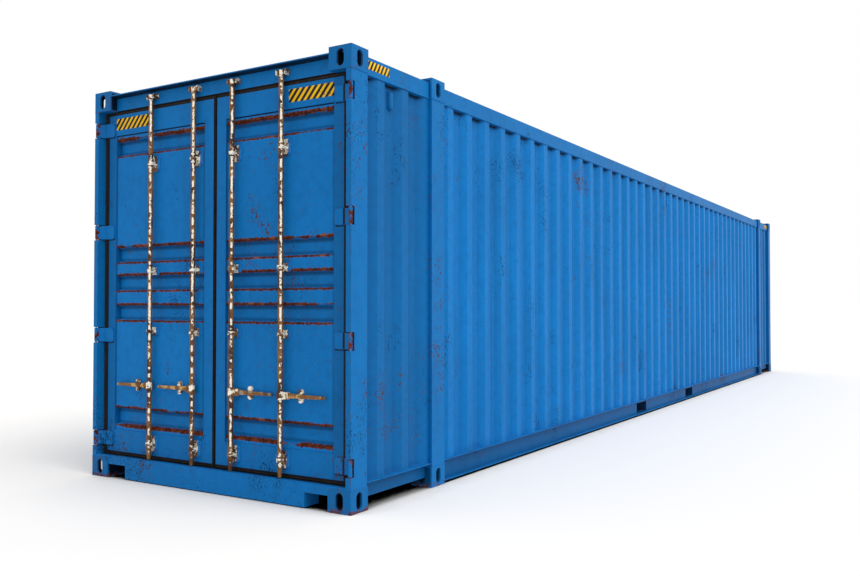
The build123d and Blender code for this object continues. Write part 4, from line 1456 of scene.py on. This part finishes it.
@dataclass
class Door:
    """One door leaf with its gear, the bolts of its guides, its blade beads and its warning stripes."""

    side: Side
    bolt_radius: float = 0.0085
    guide_bolt: float = 0.044
    blade_half: float = 0.0515
    blade_face: float = 0.0595
    blade_reach: tuple[float, float] = (0.093, 0.1665)
    blade_end_half: float = 0.033
    stripe_half: tuple[float, float] = (0.187, 0.043)
    stripe_centre: tuple[float, float] = (0.853, 2.649)

    def bolt(self) -> Surface:
        """A six-sided head on a washer.

        Returns:
            The head, standing on its own z = 0.
        """
        r = self.bolt_radius
        washer = lathe([(r * 1.5, -0.0005), (r * 1.5, 0.0012), (r * 1.35, 0.002)], 10)
        head = lathe([(r, 0.001), (r, 0.0055), (r * 0.82, 0.0072)], 6)
        return Surface.joined([washer, head])

    def dress(self) -> None:
        """Finish the leaf and its gear."""
        word, is_right = self.side.word, self.side is Side.RIGHT
        dress(LEAF_PAINT, f"{word}_door_stiles", f"{word}_door_rails")
        dress(RIGHT_BLADE_PAINT if is_right else BLADE_PAINT, f"{word}_hinge_blades")
        dress(PANEL_PAINT, f"{word}_door_panel")
        dress(RUBBER, f"{word}_door_seal")
        dress(GUIDE_METAL, f"{word}_bar_guides")
        dress(BRACKET_METAL, f"{word}_handle_rests")
        for bar, offset, handle in (("inner", SIZES.inner_bar, GREY_METAL), ("outer", SIZES.outer_bar, OCHRE_METAL)):
            dress(bar_metal(self.side, offset), f"{word}_{bar}_locking_bar")
            dress(handle if is_right else OCHRE_METAL, f"{word}_{bar}_handle")

    def bolt_centres(self) -> np.ndarray:
        """Centres of the bolts on the guides of the right door.

        Returns:
            One row for each bolt.
        """
        s = SIZES
        centres = []
        for y_bar in (-s.inner_bar, -s.outer_bar):
            for z, tall in s.guides:
                face = (s.leaf_front if z < 0.4 else s.panel_front) - 0.006
                rise = tall / 2 - 0.014
                across = (-self.guide_bolt, self.guide_bolt)
                centres += [(-s.end + face, y_bar + dy, z + dz) for dy in across for dz in (-rise, rise)]
        return np.array(centres)

    def blade_beads(self) -> list[Surface]:
        """Beads along each blade of the right door, above it, below it and over its free end.

        Returns:
            The beads.
        """
        s = SIZES
        x = -s.end + self.blade_face
        y0, y1 = (-s.side + reach for reach in self.blade_reach)
        lines = []
        for z in s.blades:
            for edge in (z - self.blade_half, z + self.blade_half):
                lines.append([[x, y0, edge], [x, y1 - 0.018, edge]])
            lines.append([[x, y1, z - self.blade_end_half], [x, y1, z + self.blade_end_half]])
        return [bead(np.array(line), TO_DOORS, 0.0022, 0.007) for line in lines]

    def build(self) -> None:
        """Add bolts, blade beads and the warning stripes."""
        s = SIZES
        word, body = self.side.word, f"{self.side.word}_door"
        bolts = self.bolt().copies(self.bolt_centres(), ACROSS, UP, TO_DOORS)
        make_piece(f"{word}_guide_bolts", for_side([bolts], self.side), LEAF_PAINT, body)
        make_piece(f"{word}_blade_weld_beads", for_side(self.blade_beads(), self.side), DOOR_PAINT, body)
        plate = rounded_stack(*self.stripe_half, 0.004, STRIPE_LEVELS, 3)
        centre = np.array([[-s.end + s.leaf_front, self.side.value * self.stripe_centre[0], self.stripe_centre[1]]])
        stripes = plate.copies(centre, ACROSS, UP, TO_DOORS)
        make_piece(f"{word}_door_stripes", stripes, Stripes("door stripes"), body)
        low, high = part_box("right_hinge_blades")
        LOG.info("blades reach from %.3f to %.3f m high", low.z, high.z)


@dataclass
class LockingBar:
    """One bar's collars."""

    side: Side
    place: str
    offset: float
    gap: float = 0.028
    under_cam: float = 0.031

    def build(self) -> None:
        """Slide a collar above and below each end guide and weld one under the cam."""
        s = SIZES
        ring = lathe([(0.0165, -0.006), (0.0205, -0.005), (0.0205, 0.005), (0.0165, 0.006)], 16)
        heights = [s.guides[end][0] + rise for end in (0, 3) for rise in (-self.gap, self.gap)]
        heights.append(s.top_rail_low + self.under_cam)
        centres = np.array([[-s.end + s.bar_axis, self.side.value * self.offset, z] for z in heights])
        collars = ring.copies(centres, AHEAD, ACROSS, UP)
        name = f"{self.side.word}_{self.place}_bar"
        make_piece(f"{name}_collars", collars, bar_metal(self.side, self.offset), name)


@dataclass
class RailStripes:
    """Warning stripes on the top side rails near both ends."""

    half: tuple[float, float] = (0.1355, 0.028)
    near_middle: float = 0.3135
    height: float = 2.814

    def build(self) -> None:
        """Set a thin plate near each end of both top rails."""
        s = SIZES
        plate = rounded_stack(*self.half, 0.003, STRIPE_LEVELS, 3)
        face = -s.side + s.top_rail_face
        centres = np.array([[sign * (s.end - self.near_middle), face, self.height] for sign in (-1, 1)])
        right = plate.copies(centres, AHEAD, UP, TO_RIGHT)
        finish = Stripes("rail stripes", axis=0, lean=-0.55, pitch=0.0387)
        make_piece("rail_stripes", on_both_sides([right]), finish)


@dataclass(frozen=True)
class Viewpoint:
    """Where the photo was taken from, found by fitting the box's corners."""

    place: Point = (-11.0674, -4.3801, 1.2752)
    heading_deg: float = -58.355
    pitch_deg: float = 1.216
    focal_px: float = 857.9
    frame_px: tuple[int, int] = (860, 576)

    def build(self) -> None:
        """Make the camera and use it."""
        lens = bpy.data.cameras.new("camera")
        lens.sensor_fit = "HORIZONTAL"
        lens.sensor_width = 36.0
        lens.lens = 36.0 * self.focal_px / self.frame_px[0]
        lens.clip_end = 1000.0
        camera = bpy.data.objects.new("camera", lens)
        camera.location = self.place
        camera.rotation_euler = (math.radians(90 + self.pitch_deg), 0.0, math.radians(self.heading_deg))
        bpy.context.scene.collection.objects.link(camera)
        bpy.context.scene.camera = camera


@dataclass(frozen=True)
class Sun:
    """A broad soft lamp, given by where it stands."""

    name: str
    azimuth_deg: float
    elevation_deg: float
    energy: float
    angle_deg: float

    def build(self) -> None:
        """Make the lamp, shining towards the box."""
        lamp = bpy.data.lights.new(self.name, type="SUN")
        lamp.energy = self.energy
        lamp.angle = math.radians(self.angle_deg)
        holder = bpy.data.objects.new(self.name, lamp)
        holder.rotation_euler = (math.radians(90 - self.elevation_deg), 0.0, math.radians(self.azimuth_deg + 90))
        bpy.context.scene.collection.objects.link(holder)


@dataclass
class Studio:
    """Plain pale floor, white surroundings and soft light."""

    sky: float = 0.75
    floor_size: float = 300.0
    contact_reach: float = 0.5
    suns: tuple[Sun, ...] = (
        Sun("key sun", azimuth_deg=-95.0, elevation_deg=50.0, energy=1.6, angle_deg=50.0),
    )

    def world(self) -> None:
        """Even soft light, and plain white for what the camera and reflections see."""
        world = bpy.data.worlds.new("studio")
        bpy.context.scene.world = world
        world.use_nodes = True
        graph = Graph(world.node_tree)
        soft, white = graph.add("Background"), graph.add("Background")
        graph.feed_all(soft, {"Color": (0.985, 0.99, 1.0, 1.0), "Strength": self.sky})
        graph.feed_all(white, {"Color": (1.0, 1.0, 1.0, 1.0)})
        rays = graph.add("LightPath")
        seen = graph.most(rays.outputs["Is Camera Ray"], rays.outputs["Is Glossy Ray"])
        seen = graph.most(seen, rays.outputs["Is Transmission Ray"])
        blend = graph.feed_all(graph.add("MixShader"), {0: seen, 1: soft.outputs[0], 2: white.outputs[0]})
        graph.feed(graph.add("OutputWorld").inputs["Surface"], blend)

    def floor(self) -> None:
        """A matt floor that looks white to the camera, keeps the box's shadow, and has a painted contact shadow from an
        occlusion mask, dark right under the box.
        """
        half = self.floor_size
        mesh = bpy.data.meshes.new("studio_floor")
        mesh.from_pydata([(-half, -half, 0), (half, -half, 0), (half, half, 0), (-half, half, 0)], [], [(0, 1, 2, 3)])
        floor = bpy.data.objects.new("studio_floor", mesh)
        material = bpy.data.materials.new("studio floor")
        material.use_nodes = True
        graph = Graph(material.node_tree)
        shader, output = graph.add("BsdfPrincipled"), graph.add("OutputMaterial")
        rays = graph.add("LightPath")
        seen = graph.most(rays.outputs["Is Camera Ray"], rays.outputs["Is Glossy Ray"])
        # An occlusion mask paints the contact shadow: black right under the box, white in the open.
        near = graph.add("AmbientOcclusion", samples=8)
        graph.feed(near.inputs["Distance"], self.contact_reach)
        open_air = graph.ramp(near.outputs["AO"], 0.3, 0.62)
        white = graph.mix(open_air, (0.0, 0.0, 0.0, 1), (0.88, 0.865, 0.84, 1))
        given = {
            "Base Color": graph.mix(seen, (0.7, 0.7, 0.7, 1), white),
            "Emission Color": white,
            "Emission Strength": graph.times(seen, 0.12),
            "Roughness": 1.0,
            "Specular IOR Level": 0.0,
        }
        graph.feed(output.inputs["Surface"], graph.feed_all(shader, given))
        mesh.materials.append(material)
        bpy.context.scene.collection.objects.link(floor)

    def build(self) -> None:
        """Set the colour handling, floor, world and lamps."""
        bpy.context.scene.view_settings.view_transform = "Standard"
        self.world()
        self.floor()
        for sun in self.suns:
            sun.build()


def main() -> None:
    """Load the solids, then build and dress each sub-assembly in turn."""
    logging.basicConfig(level=logging.INFO, format="%(name)s %(message)s")
    FRAME.update(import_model())
    Viewpoint().build()
    Studio().build()
    assemblies = [SteelFrame(), EndAndRoof(), Underside(), DoorFrame()]
    assemblies += [SideWall(side) for side in Side]
    assemblies += [Door(side) for side in Side]
    for assembly in assemblies:
        assembly.dress()
        assembly.build()
    for side in Side:
        for place, offset in (("inner", SIZES.inner_bar), ("outer", SIZES.outer_bar)):
            LockingBar(side, place, offset).build()
    Ventilators().build()
    RailStripes().build()


if __name__ == "__main__":
    main()
